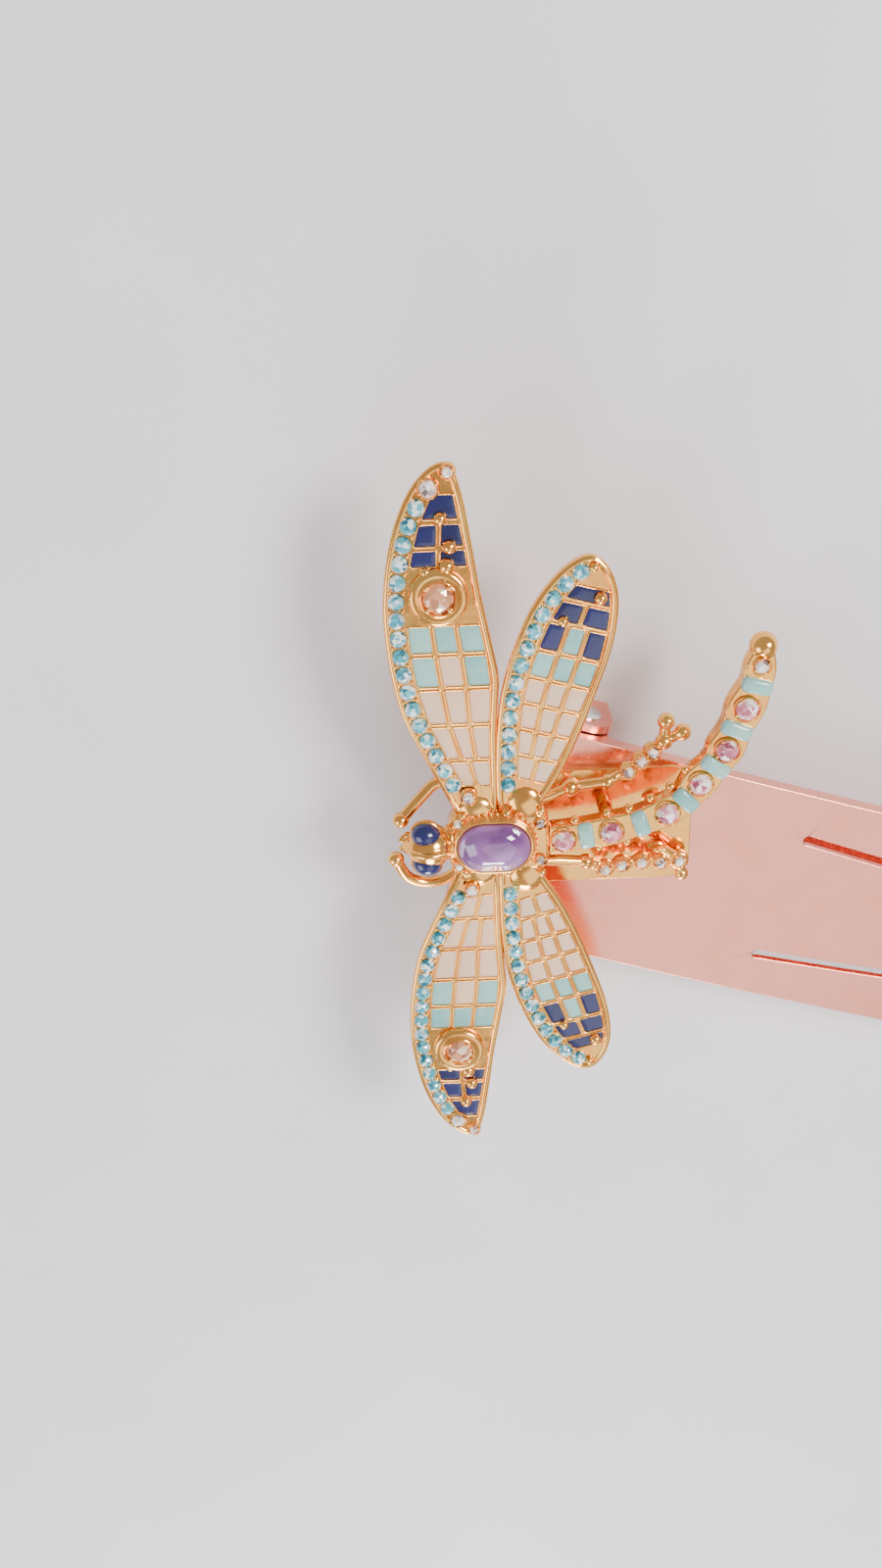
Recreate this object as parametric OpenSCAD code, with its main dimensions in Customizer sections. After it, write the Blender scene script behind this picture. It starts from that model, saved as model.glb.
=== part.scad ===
// Dragonfly beak clip: a wide, slotted, sprung hair clip with a jewelled dragonfly fixed over its hinge.
// X runs from the hinge towards the beak, Y across the clip, Z up out of the ornament's face.
// The origin is on the underside of the lower jaw, straight below the hinge line.

/* [Clip] */
// Width of the upper jaw
jaw_w = 24.1; // [22:0.1:27]
// Distance from the hinge line to the beak's tip
beak_l = 108; // [104:1:112]
// Distance from the hinge line to the end of the finger tab
tab_l = 8.5; // [8:0.5:10]
// Thickness of the jaws' sheet metal
sheet_t = 0.8; // [0.6:0.1:0.9]
// Height of the upper jaw's flat top above the surface that the clip lies on
jaw_top = 8.7; // [8.5:0.1:9.2]
// Depth of the upper jaw's turned-down rim, over the sheet's outer face
rim_h = 1.8; // [1.4:0.1:1.9]
// Distance from the hinge line to the crease where the upper jaw begins to bow
crease_x = 18.5; // [17:0.5:20]
// Angle that the crease turns the upper jaw down
crease_turn = 1.5; // [1.2:0.1:1.5]
// Radius of the upper jaw's bow
bow_r = 1000; // [1000:10:1200]

/* [Slots and teeth] */
// Width of each long slot in the upper jaw
slot_w = 0.95; // [0.7:0.05:1.3]
// Distance from the hinge line to the slots' near ends
slot_start = 25; // [23:1:30]
// Length of each slot
slot_l = 54; // [40:1:58]
// Angle at which each slot runs in towards the middle
slot_turn = 3.5; // [2.5:0.5:4]
// Half width of the lower jaw's narrow tongue
tongue_h = 6; // [5:0.25:6.25]
// Teeth along each side of the tongue
tooth_count = 6; // [3:1:6]

/* [Hinge] */
// Height of the hinge line
pin_z = 4.2; // [4.1:0.05:4.3]
// Radius of the hinge pin
pin_r = 0.95; // [0.8:0.05:1]
// Radial clearance of the upper jaw's bores on the pin
pin_clear = 0.05; // [0.02:0.01:0.08]
// Radius of the spring's wire
wire_r = 0.4; // [0.3:0.05:0.45]
// Full turns in the spring, besides the half turn to its second leg
spring_turns = 4; // [3:1:6]

/* [Ornament] */
// Height of the wings' middle plane above the upper jaw's top
wing_rise = 5; // [4.9:0.1:5.5]
// Angle between the dragonfly's body and the clip
ornament_turn = 17.9; // [16:0.1:19]
// Thickness of the wing castings
wing_t = 1.1; // [0.9:0.1:1.2]
// Depth of the enamel's recesses
cell_depth = 0.6; // [0.4:0.05:0.7]
// Width of the metal between two enamel cells
wall = 0.3; // [0.25:0.01:0.4]
// Radius of the small stones along the wings
stone_r = 0.8; // [0.6:0.05:0.82]
// Outer radius of the round settings near the forewings' tips
ring_r = 2.35; // [2:0.05:2.4]
// Length of the purple cabochon
cabochon_l = 6.8; // [6:0.1:6.9]
// Width of the purple cabochon
cabochon_w = 4.8; // [4:0.1:4.9]

/* [Hidden] */
$fn = 48;
gold = "goldenrod";
rose = "rosybrown";
steel = "silver";
far = 300;      // larger than the whole clip
sink = 1;       // how far a cutting shape runs past a face

// Jaws
half_w = jaw_w / 2;
bow_start = 70;                                   // where the straight sides turn into the rounded beak
tab_corner = 4;                                   // rounding of the finger tabs' corners
bow_x = crease_x - bow_r * sin(crease_turn);      // centre line of the bow
bow_z = jaw_top - bow_r * cos(crease_turn);
ear_gap = 0.15;                                   // between the upper jaw's side and the lower jaw's ears
ear_h = 7.2;                                      // top of the ears
ear_half_l = 2.9;
ear_corner = 2.5;
cheek_r = 2.6;                                    // lobe of the upper jaw's cheeks around the pin
tongue_end = 104;
tongue_tip = [[tongue_end, 1.8], [tongue_end - 1.2, 3.2], [tongue_end - 3, 4]];   // its rounded end
taper_x = 82;                                     // where the tongue begins to narrow
outer_h = half_w + ear_gap + sheet_t;             // outer face of the ears
lip_l = 2.5;
lip_gap = 0.13;
slot_y = 7.15;
tooth_first = 76;
tooth_pitch = 4;
tooth_l = 2.4;
tooth_t = 0.7;
tooth_h = 2.2;
tooth_gap = 0.35;                                 // least room between a tooth's point and the upper jaw
weld = 0.05;                                      // how far a tooth reaches into the tongue
pin_head_r = 1.7;
pin_head_t = 0.6;
coil_r = 1.9;
coil_pitch = 2 * wire_r + 0.15;
leg_reach = 6.8;
leg_gap = 0.1;                                    // between the spring's ends and the sheet
wire_sides = 8;
wire_step = 20;                                   // angle between two rings of the coil

// Ornament
ornament_x = -6.6;
ornament_y = 1.6;
wing_z = jaw_top + wing_rise;
plate_t = 0.8;
plate_lo = [0.5, -7.6];
plate_hi = [19.9, 5];
plate_corner = 2.4;
rivets = [[3, -4.4], [16.5, -4.6], [16, 1.6]];
rivet_r = 0.9;
rivet_head_r = 1.6;
rivet_head_t = 0.5;
thorax_lo = [-4.4, -3.2];
thorax_hi = [5.4, 3.2];
thorax_corner = 1.6;
thorax_bottom = -1.8;
thorax_top = 1;
front_post = [1.5, 0];
rear_post = [11.3, 0.7];
post_r = [1.3, 0.75];
bezel_t = 0.3;
bezel_h = 0.9;
cabochon_dome = 1.6;
cabochon_side = 0.6;    // upright side under the dome
cabochon_z = thorax_top;

// Wings. Each kind is [outline, outline points on its leading edge, rows of cells, stones, root, turn].
// A row is [start, end, colours of its cells from the leading edge on]: c cream, a aqua, n navy.
fore_outline = [
    [-3.4, 3.2], [-4.9, 6.4], [-6.4, 9.6], [-7.9, 13.2], [-8.7, 17], [-9.05, 20.5], [-9.1, 24], [-8.6, 27.8],
    [-7.7, 31.2], [-6.2, 34.3], [-4.4, 36.1], [-2.9, 36.2], [-2, 33.8], [-1.3, 29.5], [-0.65, 25], [0.3, 19.8],
    [0.75, 17], [0.62, 14.5], [0.42, 11], [0.4, 7], [0.35, 3.2]
];
fore_rows = [
    [6, 8.6, "cc"], [8.9, 12.2, "ccc"], [12.5, 15.9, "ccc"], [16.2, 19.2, "aca"], [19.5, 22.1, "aaa"],
    [27.5, 29, "nn"], [29.3, 31.3, "nn"], [31.7, 33.9, "n"]
];
hind_outline = [
    [-1.8, -0.4], [-2.6, 2.2], [-3.35, 5.1], [-3.95, 8], [-4.4, 11], [-4.5, 14.1], [-4.3, 16.9], [-3.9, 19.5],
    [-3.05, 22.1], [-1.8, 24.3], [-0.2, 25.6], [1.4, 25.1], [2.8, 23.4], [3.6, 21], [3.95, 17.5], [3.75, 13.3],
    [3.4, 9], [2.75, 4.7], [1.9, 1.6], [1.8, -0.4]
];
hind_rows = [
    [3.4, 5.6, "cc"], [5.9, 8.2, "ccc"], [8.5, 10.8, "ccc"], [11.1, 13.4, "ccc"], [13.7, 16.1, "aaa"],
    [16.4, 19, "nan"], [19.3, 21.2, "nn"], [21.5, 22.9, "n"]
];
fore = [fore_outline, 10, fore_rows, 17, [0, 0], 0];
hind = [hind_outline, 11, hind_rows, 14, [2.4, 3.2], 15.6];
lead_margin = 1;        // stones' centre line inside the leading edge
channel_w = 1.95;       // leading edge to the first cell
rim_w = 0.55;           // last cell to the trailing edge
enamel_drop = 0.1;      // enamel's face below the metal's
stone_seat = 0.5;
stone_girdle = 0.1;
stone_crown = 0.4;
table_share = 0.55;     // a stone's flat table over its whole width
stone_lead_in = [2.2, 1.2];   // bare leading edge before the first stone and after the last
ring_at = [-4.25, 24.8];
ring_stone_r = 1.6;
ring_h = 0.8;
ring_stone_drop = 0.2;  // the stone's girdle below its ring's edge
ring_stone_crown = 0.5;

// Head and abdomen
head_at = [-6.2, 0, 0.9];
head_r = 2.2;
eye_at = [-6.5, 1.55, 1.6];
eye_r = 1.25;
face_at = [-8, 0, 0.6];
face_r = 0.8;
neck_r = 1.2;
neck_drop = 0.6;
// Stations along the centre line of the abdomen and, from the twelfth on, of the tail, with the half width there
spine = [
    [6.7, 0.1, 1.5], [8.9, 0.5, 1.35], [11.3, 0.8, 1.55], [14.1, 1.6, 1.35], [16.6, 2.6, 1.6], [18.3, 3.9, 1.4],
    [19.6, 5.6, 1.75], [20.9, 7.3, 1.45], [21.9, 9, 1.8], [22.7, 11, 1.5], [23.5, 13.1, 1.8], [24.3, 15.3, 1.45],
    [24.6, 17.2, 1.4], [24.8, 18.9, 0.8]
];
tail_start = 11;
spine_steps = 4;
spine_z = 0.2;
spine_flat = 0.8;      // from the centre line up to the flat top
spine_foot = 0.9;       // from the centre line down to the flat underside
tail_ball_r = 1.3;
link_stones = [0, 2, 4, 6, 8, 10];
link_enamels = [1, 3, 5, 7, 9, 11];
link_stone_share = 0.6;   // stone's radius over the abdomen's half width
link_stone_girdle = 0.3;
link_stone_crown = 0.4;
link_enamel_share = 0.72;  // saddle's half width over the abdomen's
link_enamel_l = 1.1;
link_enamel_t = 0.4;

// Legs, as joints from the thorax to the foot, with the bead's radius at each
front_leg_upper = [[-2.1, 3, -1.2, 0.55], [-4.6, 5.7, -1.35, 0.6], [-6.4, 4.7, -0.8, 0.55], [-8.9, 2.4, 0, 0.7]];
front_leg_lower = [
    [-2.1, -3, -1.2, 0.55], [-6.6, -5.3, -1.35, 0.6], [-8.9, -3.9, -0.6, 0.55], [-9.6, -1.9, 0, 0.7]
];
hind_leg_upper = [
    [3.2, 3, -1, 0.6], [7.6, 4.4, -1.8, 0.8], [11.2, 4.6, -2.2, 0.65], [13.2, 5.6, -2.4, 0.82],
    [14.5, 6.6, -2.6, 0.82], [15.6, 7.4, -2.8, 0.82], [16.7, 8.3, -3, 0.7]
];
hind_leg_lower = [
    [3.2, -3, -1, 0.6], [9.2, -4.1, -2, 0.65], [11.1, -5.1, -2.3, 0.82], [12.8, -4.7, -2.4, 0.82],
    [14.8, -4.6, -2.6, 0.82], [16.7, -4.8, -2.8, 0.82], [18.6, -4.8, -3, 0.9]
];
upper_claws = [[16.9, 10.3, -3.2, 0.7], [18.5, 9.1, -3.2, 0.7]];
lower_claws = [[19, -6.6, -3.2, 0.55], [16.4, -3, -2.6, 0.55]];
leg_rod_r = 0.42;
claw_rod_r = 0.36;
upper_stone_joints = [3, 4, 5];
lower_stone_joints = [2, 3, 4, 5, 6];
leg_stone_r = 0.62;
leg_stone_level = 0.35;   // flat on top of a bead, above its centre
leg_stone_girdle = 0.2;
leg_stone_crown = 0.3;
leg_flat_r = 1.1;         // reach of the cut that makes the flat
accent_stones = [[-3.4, 2.35], [-3.4, -2.35], [4.5, 2], [4.5, -2]];
accent_r = 0.5;

// A smooth curve through points p
function knot(p, i) = p[max(0, min(len(p) - 1, i))];
function heading(p, i) = let (d = knot(p, i + 1) - knot(p, i - 1)) atan2(d.y, d.x);
function curve_at(p, t) =
    let (i = min(floor(t), len(p) - 2), f = t - i)
    let (a = knot(p, i - 1), b = knot(p, i), c = knot(p, i + 1), d = knot(p, i + 2))
    (2 * b + (c - a) * f + (2 * a - 5 * b + 4 * c - d) * f * f + (3 * b - a - 3 * c + d) * f * f * f) / 2;
function curve(p, steps) = [for (k = [0 : steps * (len(p) - 1)]) curve_at(p, k / steps)];
function first(p, n) = [for (i = [0 : n - 1]) p[i]];

// Distance travelled at each point of a path, and the point at distance s
function distances(p) = [for (i = 0, s = 0; i < len(p); s = s + norm(knot(p, i + 1) - p[i]), i = i + 1) s];
function point_at(p, s) =
    let (d = distances(p), n = len(p) - 1)
    [for (axis = [0, 1]) lookup(s, [for (i = [0 : n]) [d[i], p[i][axis]]])];

// A wing's leading edge, and its stones' places
function leading(kind) = curve(first(kind[0], kind[1]), 4);
function stone_line(kind) =
    let (p = leading(kind))
    [for (i = [1 : len(p) - 1]) let (d = p[i] - p[i - 1]) p[i] + lead_margin * [d.y, -d.x] / norm(d)];
function stone_places(kind) =
    let (p = stone_line(kind), d = distances(p), reach = d[len(d) - 1] - stone_lead_in[0] - stone_lead_in[1])
    [for (k = [0 : kind[3] - 1]) point_at(p, stone_lead_in[0] + reach * k / (kind[3] - 1))];

// The wing's inside edges at a height v along it, and a cell's corners
function edge_at(p, v) = lookup(v, [for (q = p) [q.y, q.x]]);
function trailing(kind) = [for (i = [kind[1] + 1 : len(kind[0]) - 1]) kind[0][i]];
function cell_x(kind, v, share) =
    let (lo = edge_at(leading(kind), v) + channel_w, hi = edge_at(trailing(kind), v) - rim_w)
    lo + (hi - lo) * share;
function cell(kind, row, i) =
    let (n = len(row[2]), a = i == 0 ? 0 : wall / 2, b = i == n - 1 ? 0 : wall / 2)
    [
        [cell_x(kind, row[0], i / n) + a, row[0]], [cell_x(kind, row[0], (i + 1) / n) - b, row[0]],
        [cell_x(kind, row[1], (i + 1) / n) - b, row[1]], [cell_x(kind, row[1], i / n) + a, row[1]]
    ];

// The upper jaw's outline, moved in by inset, from the beak's tip along one side to the finger tab's middle
function jaw_side(inset) =
    let (h = half_w - inset, r = tab_corner - inset, reach = beak_l - bow_start - inset)
    concat(
        [for (a = [90 : -6 : 0]) [bow_start + reach * sin(a), h * cos(a)]],
        [for (a = [90 : 15 : 180]) [inset - tab_l + r + r * cos(a), h - r + r * sin(a)]]
    );
function both_sides(p) = concat(p, [for (i = [len(p) - 1 : -1 : 0]) [p[i].x, -p[i].y]]);
function jaw_underside(x) = bow_z + sqrt(pow(bow_r - sheet_t, 2) - pow(x - bow_x, 2));

module prism(outline) translate([0, 0, -far / 2]) linear_extrude(far) polygon(outline);
module along_y(x, z, r, from, to) translate([x, to, z]) rotate([90, 0, 0]) cylinder(h = to - from, r = r);
module block(lo, hi) translate(lo) cube(hi - lo);
module rounded(lo, hi, r, from, to) translate([0, 0, from]) linear_extrude(to - from) union() {
    translate([lo.x + r, lo.y]) square([hi.x - lo.x - 2 * r, hi.y - lo.y]);
    translate([lo.x, lo.y + r]) square([hi.x - lo.x, hi.y - lo.y - 2 * r]);
    for (x = [lo.x + r, hi.x - r], y = [lo.y + r, hi.y - r]) translate([x, y]) circle(r);
}

// The upper jaw's skin to a depth below its outer face: flat to the crease, then bowed
module jaw_skin(depth) {
    block([-far, -far, jaw_top - depth], [crease_x, far, jaw_top]);
    intersection() {
        block([crease_x, -far, -far], [far, far, far]);
        difference() {
            along_y(bow_x, bow_z, bow_r, -far, far, $fn = 900);
            along_y(bow_x, bow_z, bow_r - depth, -far - sink, far + sink, $fn = 900);
        }
    }
}

module slot(side) translate([slot_start, side * slot_y, 0]) rotate([0, 0, -side * slot_turn]) {
    for (x = [slot_w / 2, slot_l - slot_w / 2]) translate([x, 0, 0]) cylinder(h = far, r = slot_w / 2);
    block([slot_w / 2, -slot_w / 2, 0], [slot_l - slot_w / 2, slot_w / 2, far]);
}

// A cheek holds the pin under the upper jaw's side
module cheek(side) {
    y = side > 0 ? half_w - sheet_t : -half_w;
    along_y(0, pin_z, cheek_r, y, y + sheet_t);
    block([-cheek_r, y, pin_z], [cheek_r, y + sheet_t, jaw_top - sheet_t / 2]);
}

module upper_jaw() color(rose) difference() {
    union() {
        intersection() {
            prism(both_sides(jaw_side(0)));
            jaw_skin(sheet_t);
        }
        intersection() {
            difference() {
                prism(both_sides(jaw_side(0)));
                prism(both_sides(jaw_side(sheet_t)));
            }
            jaw_skin(rim_h);
        }
        for (side = [-1, 1]) cheek(side);
    }
    along_y(0, pin_z, pin_r + pin_clear, -far, far);
    for (side = [-1, 1]) slot(side);
    on_ornament() for (p = rivets) translate([p.x, p.y, -wing_z]) cylinder(h = wing_z, r = rivet_r);
}

// An ear of the lower jaw stands outside the upper jaw's side
module ear(side) {
    y = side > 0 ? half_w + ear_gap : -half_w - ear_gap - sheet_t;
    z = ear_h - ear_corner;
    block([-ear_half_l, y, 0], [ear_half_l, y + sheet_t, z]);
    block([ear_corner - ear_half_l, y, 0], [ear_half_l - ear_corner, y + sheet_t, ear_h]);
    for (x = [-1, 1]) along_y(x * (ear_half_l - ear_corner), z, ear_corner, y, y + sheet_t);
}

// The lower jaw's outline: from the tongue's tip along one side to the middle of the finger tab
function tongue_side() = concat(
    [[tongue_end, 0]], tongue_tip,
    [[taper_x, tongue_h], [19, tongue_h], [14.5, tongue_h + 1], [9, tongue_h + 2.4]],
    [[ear_half_l + 1.2, half_w - 3.2], [ear_half_l, outer_h], [-ear_half_l, outer_h]],
    [[-ear_half_l - 1.2, half_w - 2.6], [1.5 - tab_l, half_w - 4.2], [-tab_l, half_w - 6.5]]
);
function tongue_edge(x) = lookup(x, [[taper_x, tongue_h], [tongue_tip[2].x, tongue_tip[2].y]]);

module tooth(x, side) {
    h = min(tooth_h, jaw_underside(x + tooth_l) - sheet_t - tooth_gap);
    y = tongue_edge(x + tooth_l) - weld;
    translate([x, side > 0 ? y : tooth_t - y, sheet_t - weld]) rotate([90, 0, 0])
        linear_extrude(tooth_t) polygon([[0, 0], [tooth_l, 0], [tooth_l / 2, h]]);
}

module lower_jaw() color(rose) difference() {
    union() {
        linear_extrude(sheet_t) polygon(both_sides(tongue_side()));
        for (side = [-1, 1]) ear(side);
        for (side = [-1, 1], i = [0 : tooth_count - 1]) tooth(tooth_first + i * tooth_pitch, side);
        block(
            [tongue_end - lip_l, -tongue_tip[0].y, sheet_t / 2],
            [tongue_end, tongue_tip[0].y, jaw_underside(tongue_end) - lip_gap]
        );
    }
    along_y(0, pin_z, pin_r, -far, far);
}

module hinge_pin() color(steel) {
    along_y(0, pin_z, pin_r, -outer_h - pin_head_t, outer_h + pin_head_t);
    along_y(0, pin_z, pin_head_r, outer_h, outer_h + pin_head_t);
    along_y(0, pin_z, pin_head_r, -outer_h - pin_head_t, -outer_h);
}

// A round wire of radius r swept along path, none of it parallel to Y
module wire(path, r, sides) {
    n = len(path);
    rings = [for (i = [0 : n - 1])
        let (t = knot(path, i + 1) - knot(path, i - 1), u = cross(t, [0, 1, 0]) / norm(cross(t, [0, 1, 0])))
        let (v = cross(u, t) / norm(t))
        for (k = [0 : sides - 1]) path[i] + r * (cos(360 * k / sides) * u + sin(360 * k / sides) * v)
    ];
    walls = [for (i = [0 : n - 2], k = [0 : sides - 1])
        let (a = i * sides + k, b = i * sides + (k + 1) % sides)
        [a, b, b + sides, a + sides]
    ];
    ends = [[for (k = [sides - 1 : -1 : 0]) k], [for (k = [0 : sides - 1]) (n - 1) * sides + k]];
    polyhedron(rings, concat(walls, ends));
}

module torsion_spring() color(steel) {
    span = spring_turns * 360 + 180;
    y = -coil_pitch * span / 720;
    coil = [for (a = [0 : wire_step : span])
        [coil_r * sin(a), y + coil_pitch * a / 360, pin_z + coil_r * cos(a)]
    ];
    upper = [-leg_reach, y, jaw_top - sheet_t - wire_r - leg_gap];
    lower = [-leg_reach, -y, sheet_t + wire_r + leg_gap];
    wire(concat([upper], coil, [lower]), wire_r, wire_sides);
}

module on_ornament() translate([ornament_x, ornament_y, wing_z]) rotate([0, 0, ornament_turn]) children();

module mount_plate() color(gold) on_ornament() difference() {
    rounded(plate_lo, plate_hi, plate_corner, -wing_rise, plate_t - wing_rise);
    for (p = rivets) translate([p.x, p.y, -wing_rise - sink]) cylinder(h = plate_t + 2 * sink, r = rivet_r);
}

module plate_rivets() color(gold) on_ornament() for (p = rivets) translate([p.x, p.y, -wing_rise]) {
    translate([0, 0, -sheet_t]) cylinder(h = sheet_t + plate_t, r = rivet_r);
    translate([0, 0, -sheet_t - rivet_head_t]) cylinder(h = rivet_head_t, r = rivet_head_r);
}

module post(at, r, top) translate([at.x, at.y, plate_t - wing_rise])
    cylinder(h = top + wing_rise - plate_t, r = r);

module body_posts() color(gold) on_ornament() {
    post(front_post, post_r[0], thorax_bottom);
    post(rear_post, post_r[1], spine_z - spine_foot);
}

module thorax_core() rounded(thorax_lo, thorax_hi, thorax_corner, thorax_bottom, thorax_top);

module cut_stone(r) {
    cylinder(h = stone_seat + stone_girdle, r = r);
    translate([0, 0, stone_seat + stone_girdle]) cylinder(h = stone_crown, r1 = r, r2 = r * table_share);
}

module thorax() color(gold) on_ornament() difference() {
    thorax_core();
    for (p = accent_stones) translate([p.x, p.y, thorax_top - stone_seat]) cylinder(h = sink, r = accent_r);
}

module thorax_stones() color("white") on_ornament()
    for (p = accent_stones) translate([p.x, p.y, thorax_top - stone_seat]) cut_stone(accent_r);

// An oval with round ends, l long and w wide
module oval(l, w, h) {
    for (x = [-1, 1]) translate([x * (l - w) / 2, 0, 0]) cylinder(h = h, r = w / 2);
    block([(w - l) / 2, -w / 2, 0], [(l - w) / 2, w / 2, h]);
}

module cabochon_bezel() color(gold) on_ornament() translate([0, 0, cabochon_z]) difference() {
    oval(cabochon_l + 2 * bezel_t, cabochon_w + 2 * bezel_t, bezel_h);
    translate([0, 0, -sink]) oval(cabochon_l, cabochon_w, bezel_h + 2 * sink);
}

// The cabochon's dome is the top of a lying barrel with round ends
module cabochon() color("mediumorchid") on_ornament() translate([0, 0, cabochon_z]) intersection() {
    oval(cabochon_l, cabochon_w, far);
    union() {
        rise = cabochon_dome - cabochon_side;
        r = (pow(cabochon_w / 2, 2) + pow(rise, 2)) / (2 * rise);
        x = (cabochon_l - cabochon_w) / 2;
        translate([-x, 0, cabochon_dome - r]) rotate([0, 90, 0]) cylinder(h = 2 * x, r = r);
        for (side = [-1, 1]) translate([side * x, 0, cabochon_dome - r]) sphere(r);
    }
}

module mirrored(p) { if (p > 0) children(); else mirror([0, 1, 0]) children(); }

module head() color(gold) on_ornament() difference() {
    union() {
        translate(head_at) sphere(head_r);
        translate(face_at) sphere(face_r);
        translate([head_at.x, 0, head_at.z - neck_drop]) rotate([0, 90, 0])
            cylinder(h = thorax_lo.x - head_at.x, r = neck_r);
    }
    for (side = [-1, 1]) mirrored(side) translate(eye_at) sphere(eye_r);
    thorax_core();
}

module eye(side) color("darkslateblue") on_ornament() mirrored(side) translate(eye_at) sphere(eye_r);

module in_wing(kind, side) on_ornament() mirrored(side)
    translate([kind[4].x, kind[4].y, 0]) rotate([0, 0, -kind[5]]) children();

module cells(kind, colour, from, to) for (row = kind[2], i = [0 : len(row[2]) - 1])
    if (colour == "" || row[2][i] == colour)
        translate([0, 0, from]) linear_extrude(to - from) polygon(cell(kind, row, i));

module wing(kind, side) color(gold) difference() {
    in_wing(kind, side) difference() {
        translate([0, 0, -wing_t / 2]) linear_extrude(wing_t) polygon(curve(kind[0], 3));
        cells(kind, "", wing_t / 2 - cell_depth, wing_t / 2 + sink);
        for (p = stone_places(kind)) translate([p.x, p.y, wing_t / 2 - stone_seat]) cylinder(h = sink, r = stone_r);
    }
    on_ornament() thorax_core();
}

module enamel(kind, side, colour, shade) color(shade) in_wing(kind, side)
    cells(kind, colour, wing_t / 2 - cell_depth, wing_t / 2 - enamel_drop);

module wing_stones(kind, side) color("paleturquoise") in_wing(kind, side)
    for (p = stone_places(kind)) translate([p.x, p.y, wing_t / 2 - stone_seat]) cut_stone(stone_r);

module tip_bezel(side) color(gold) in_wing(fore, side) translate([ring_at.x, ring_at.y, wing_t / 2]) difference() {
    cylinder(h = ring_h, r = ring_r);
    translate([0, 0, -sink]) cylinder(h = ring_h + 2 * sink, r = ring_stone_r);
}

module tip_stone(side) color("mistyrose") in_wing(fore, side) translate([ring_at.x, ring_at.y, wing_t / 2]) {
    girdle = ring_h - ring_stone_drop;
    cylinder(h = girdle, r = ring_stone_r);
    translate([0, 0, girdle]) cylinder(h = ring_stone_crown, r1 = ring_stone_r, r2 = ring_stone_r * table_share);
}

// A tapered rod from one point to another
module link(a, b, ra, rb) {
    d = [b.x - a.x, b.y - a.y, b.z - a.z];
    translate([a.x, a.y, a.z]) rotate([0, acos(d.z / norm(d)), atan2(d.y, d.x)])
        cylinder(h = norm(d), r1 = ra, r2 = rb);
}

spine_curve = curve(spine, spine_steps);
function spine_side(s, from, to) =
    [for (k = [from : to]) let (c = spine_curve[k], h = heading(spine_curve, k))
        [c.x - s * c.z * sin(h), c.y + s * c.z * cos(h)]];
function reversed(p) = [for (i = [len(p) - 1 : -1 : 0]) p[i]];

// The bar that follows the spine, between two of its stations
module bar(from, to, start) translate([0, 0, spine_z - spine_foot]) linear_extrude(spine_foot + spine_flat)
    let (a = from * spine_steps, b = to * spine_steps)
    polygon(concat(start, spine_side(1, a, b), reversed(spine_side(-1, a, b))));

module abdomen() color(gold) on_ornament()
    bar(0, tail_start, [[thorax_hi.x, -spine[0].z], [thorax_hi.x, spine[0].z]]);

module on_spine(i) translate([spine[i].x, spine[i].y, spine_z + spine_flat]) rotate([0, 0, heading(spine, i)])
    children();

module abdomen_stones() color("lightpink") on_ornament() for (i = link_stones) on_spine(i) {
    r = spine[i].z * link_stone_share;
    cylinder(h = link_stone_girdle, r = r);
    translate([0, 0, link_stone_girdle]) cylinder(h = link_stone_crown, r1 = r, r2 = r * table_share);
}

module abdomen_enamel() color("paleturquoise") on_ornament() for (i = link_enamels) on_spine(i) {
    w = spine[i].z * link_enamel_share;
    block([-link_enamel_l / 2, -w, 0], [link_enamel_l / 2, w, link_enamel_t]);
}

module tail_tip() color(gold) on_ornament() {
    last = spine[len(spine) - 1];
    bar(tail_start, len(spine) - 1, []);
    translate([last.x, last.y, spine_z]) rotate([0, 0, heading(spine, len(spine) - 1)]) sphere(tail_ball_r);
}

// A leg starts at the thorax's side face. Its balls are turned so that their seams keep clear of its rods
module leg(joints, claws, side, seam) intersection() {
    union() {
        for (i = [0 : len(joints) - 2]) link(joints[i], joints[i + 1], leg_rod_r, leg_rod_r);
        for (i = [0 : len(joints) - 1]) let (j = joints[i])
            translate([j.x, j.y, j.z]) rotate([0, 0, heading(joints, i) + seam]) sphere(j[3]);
        for (c = claws) {
            link(joints[len(joints) - 1], c, leg_rod_r, claw_rod_r);
            translate([c.x, c.y, c.z]) rotate([0, 0, seam]) sphere(c[3]);
        }
    }
    mirrored(side) block([-far, thorax_hi.y, -far], [far, far, far]);
}

module on_bead(j) translate([j.x, j.y, j.z + leg_stone_level]) children();

module front_leg(joints, side) color(gold) on_ornament() leg(joints, [], side, -side * 90);

module hind_leg(joints, claws, stones, side) color(gold) on_ornament() difference() {
    leg(joints, claws, side, side * 90);
    for (i = stones) on_bead(joints[i]) cylinder(h = sink, r = leg_flat_r);
}

module leg_stones(joints, stones) color("white") on_ornament()
    for (i = stones) on_bead(joints[i]) {
        cylinder(h = leg_stone_girdle, r = leg_stone_r);
        translate([0, 0, leg_stone_girdle])
            cylinder(h = leg_stone_crown, r1 = leg_stone_r, r2 = leg_stone_r * table_share);
    }

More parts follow.
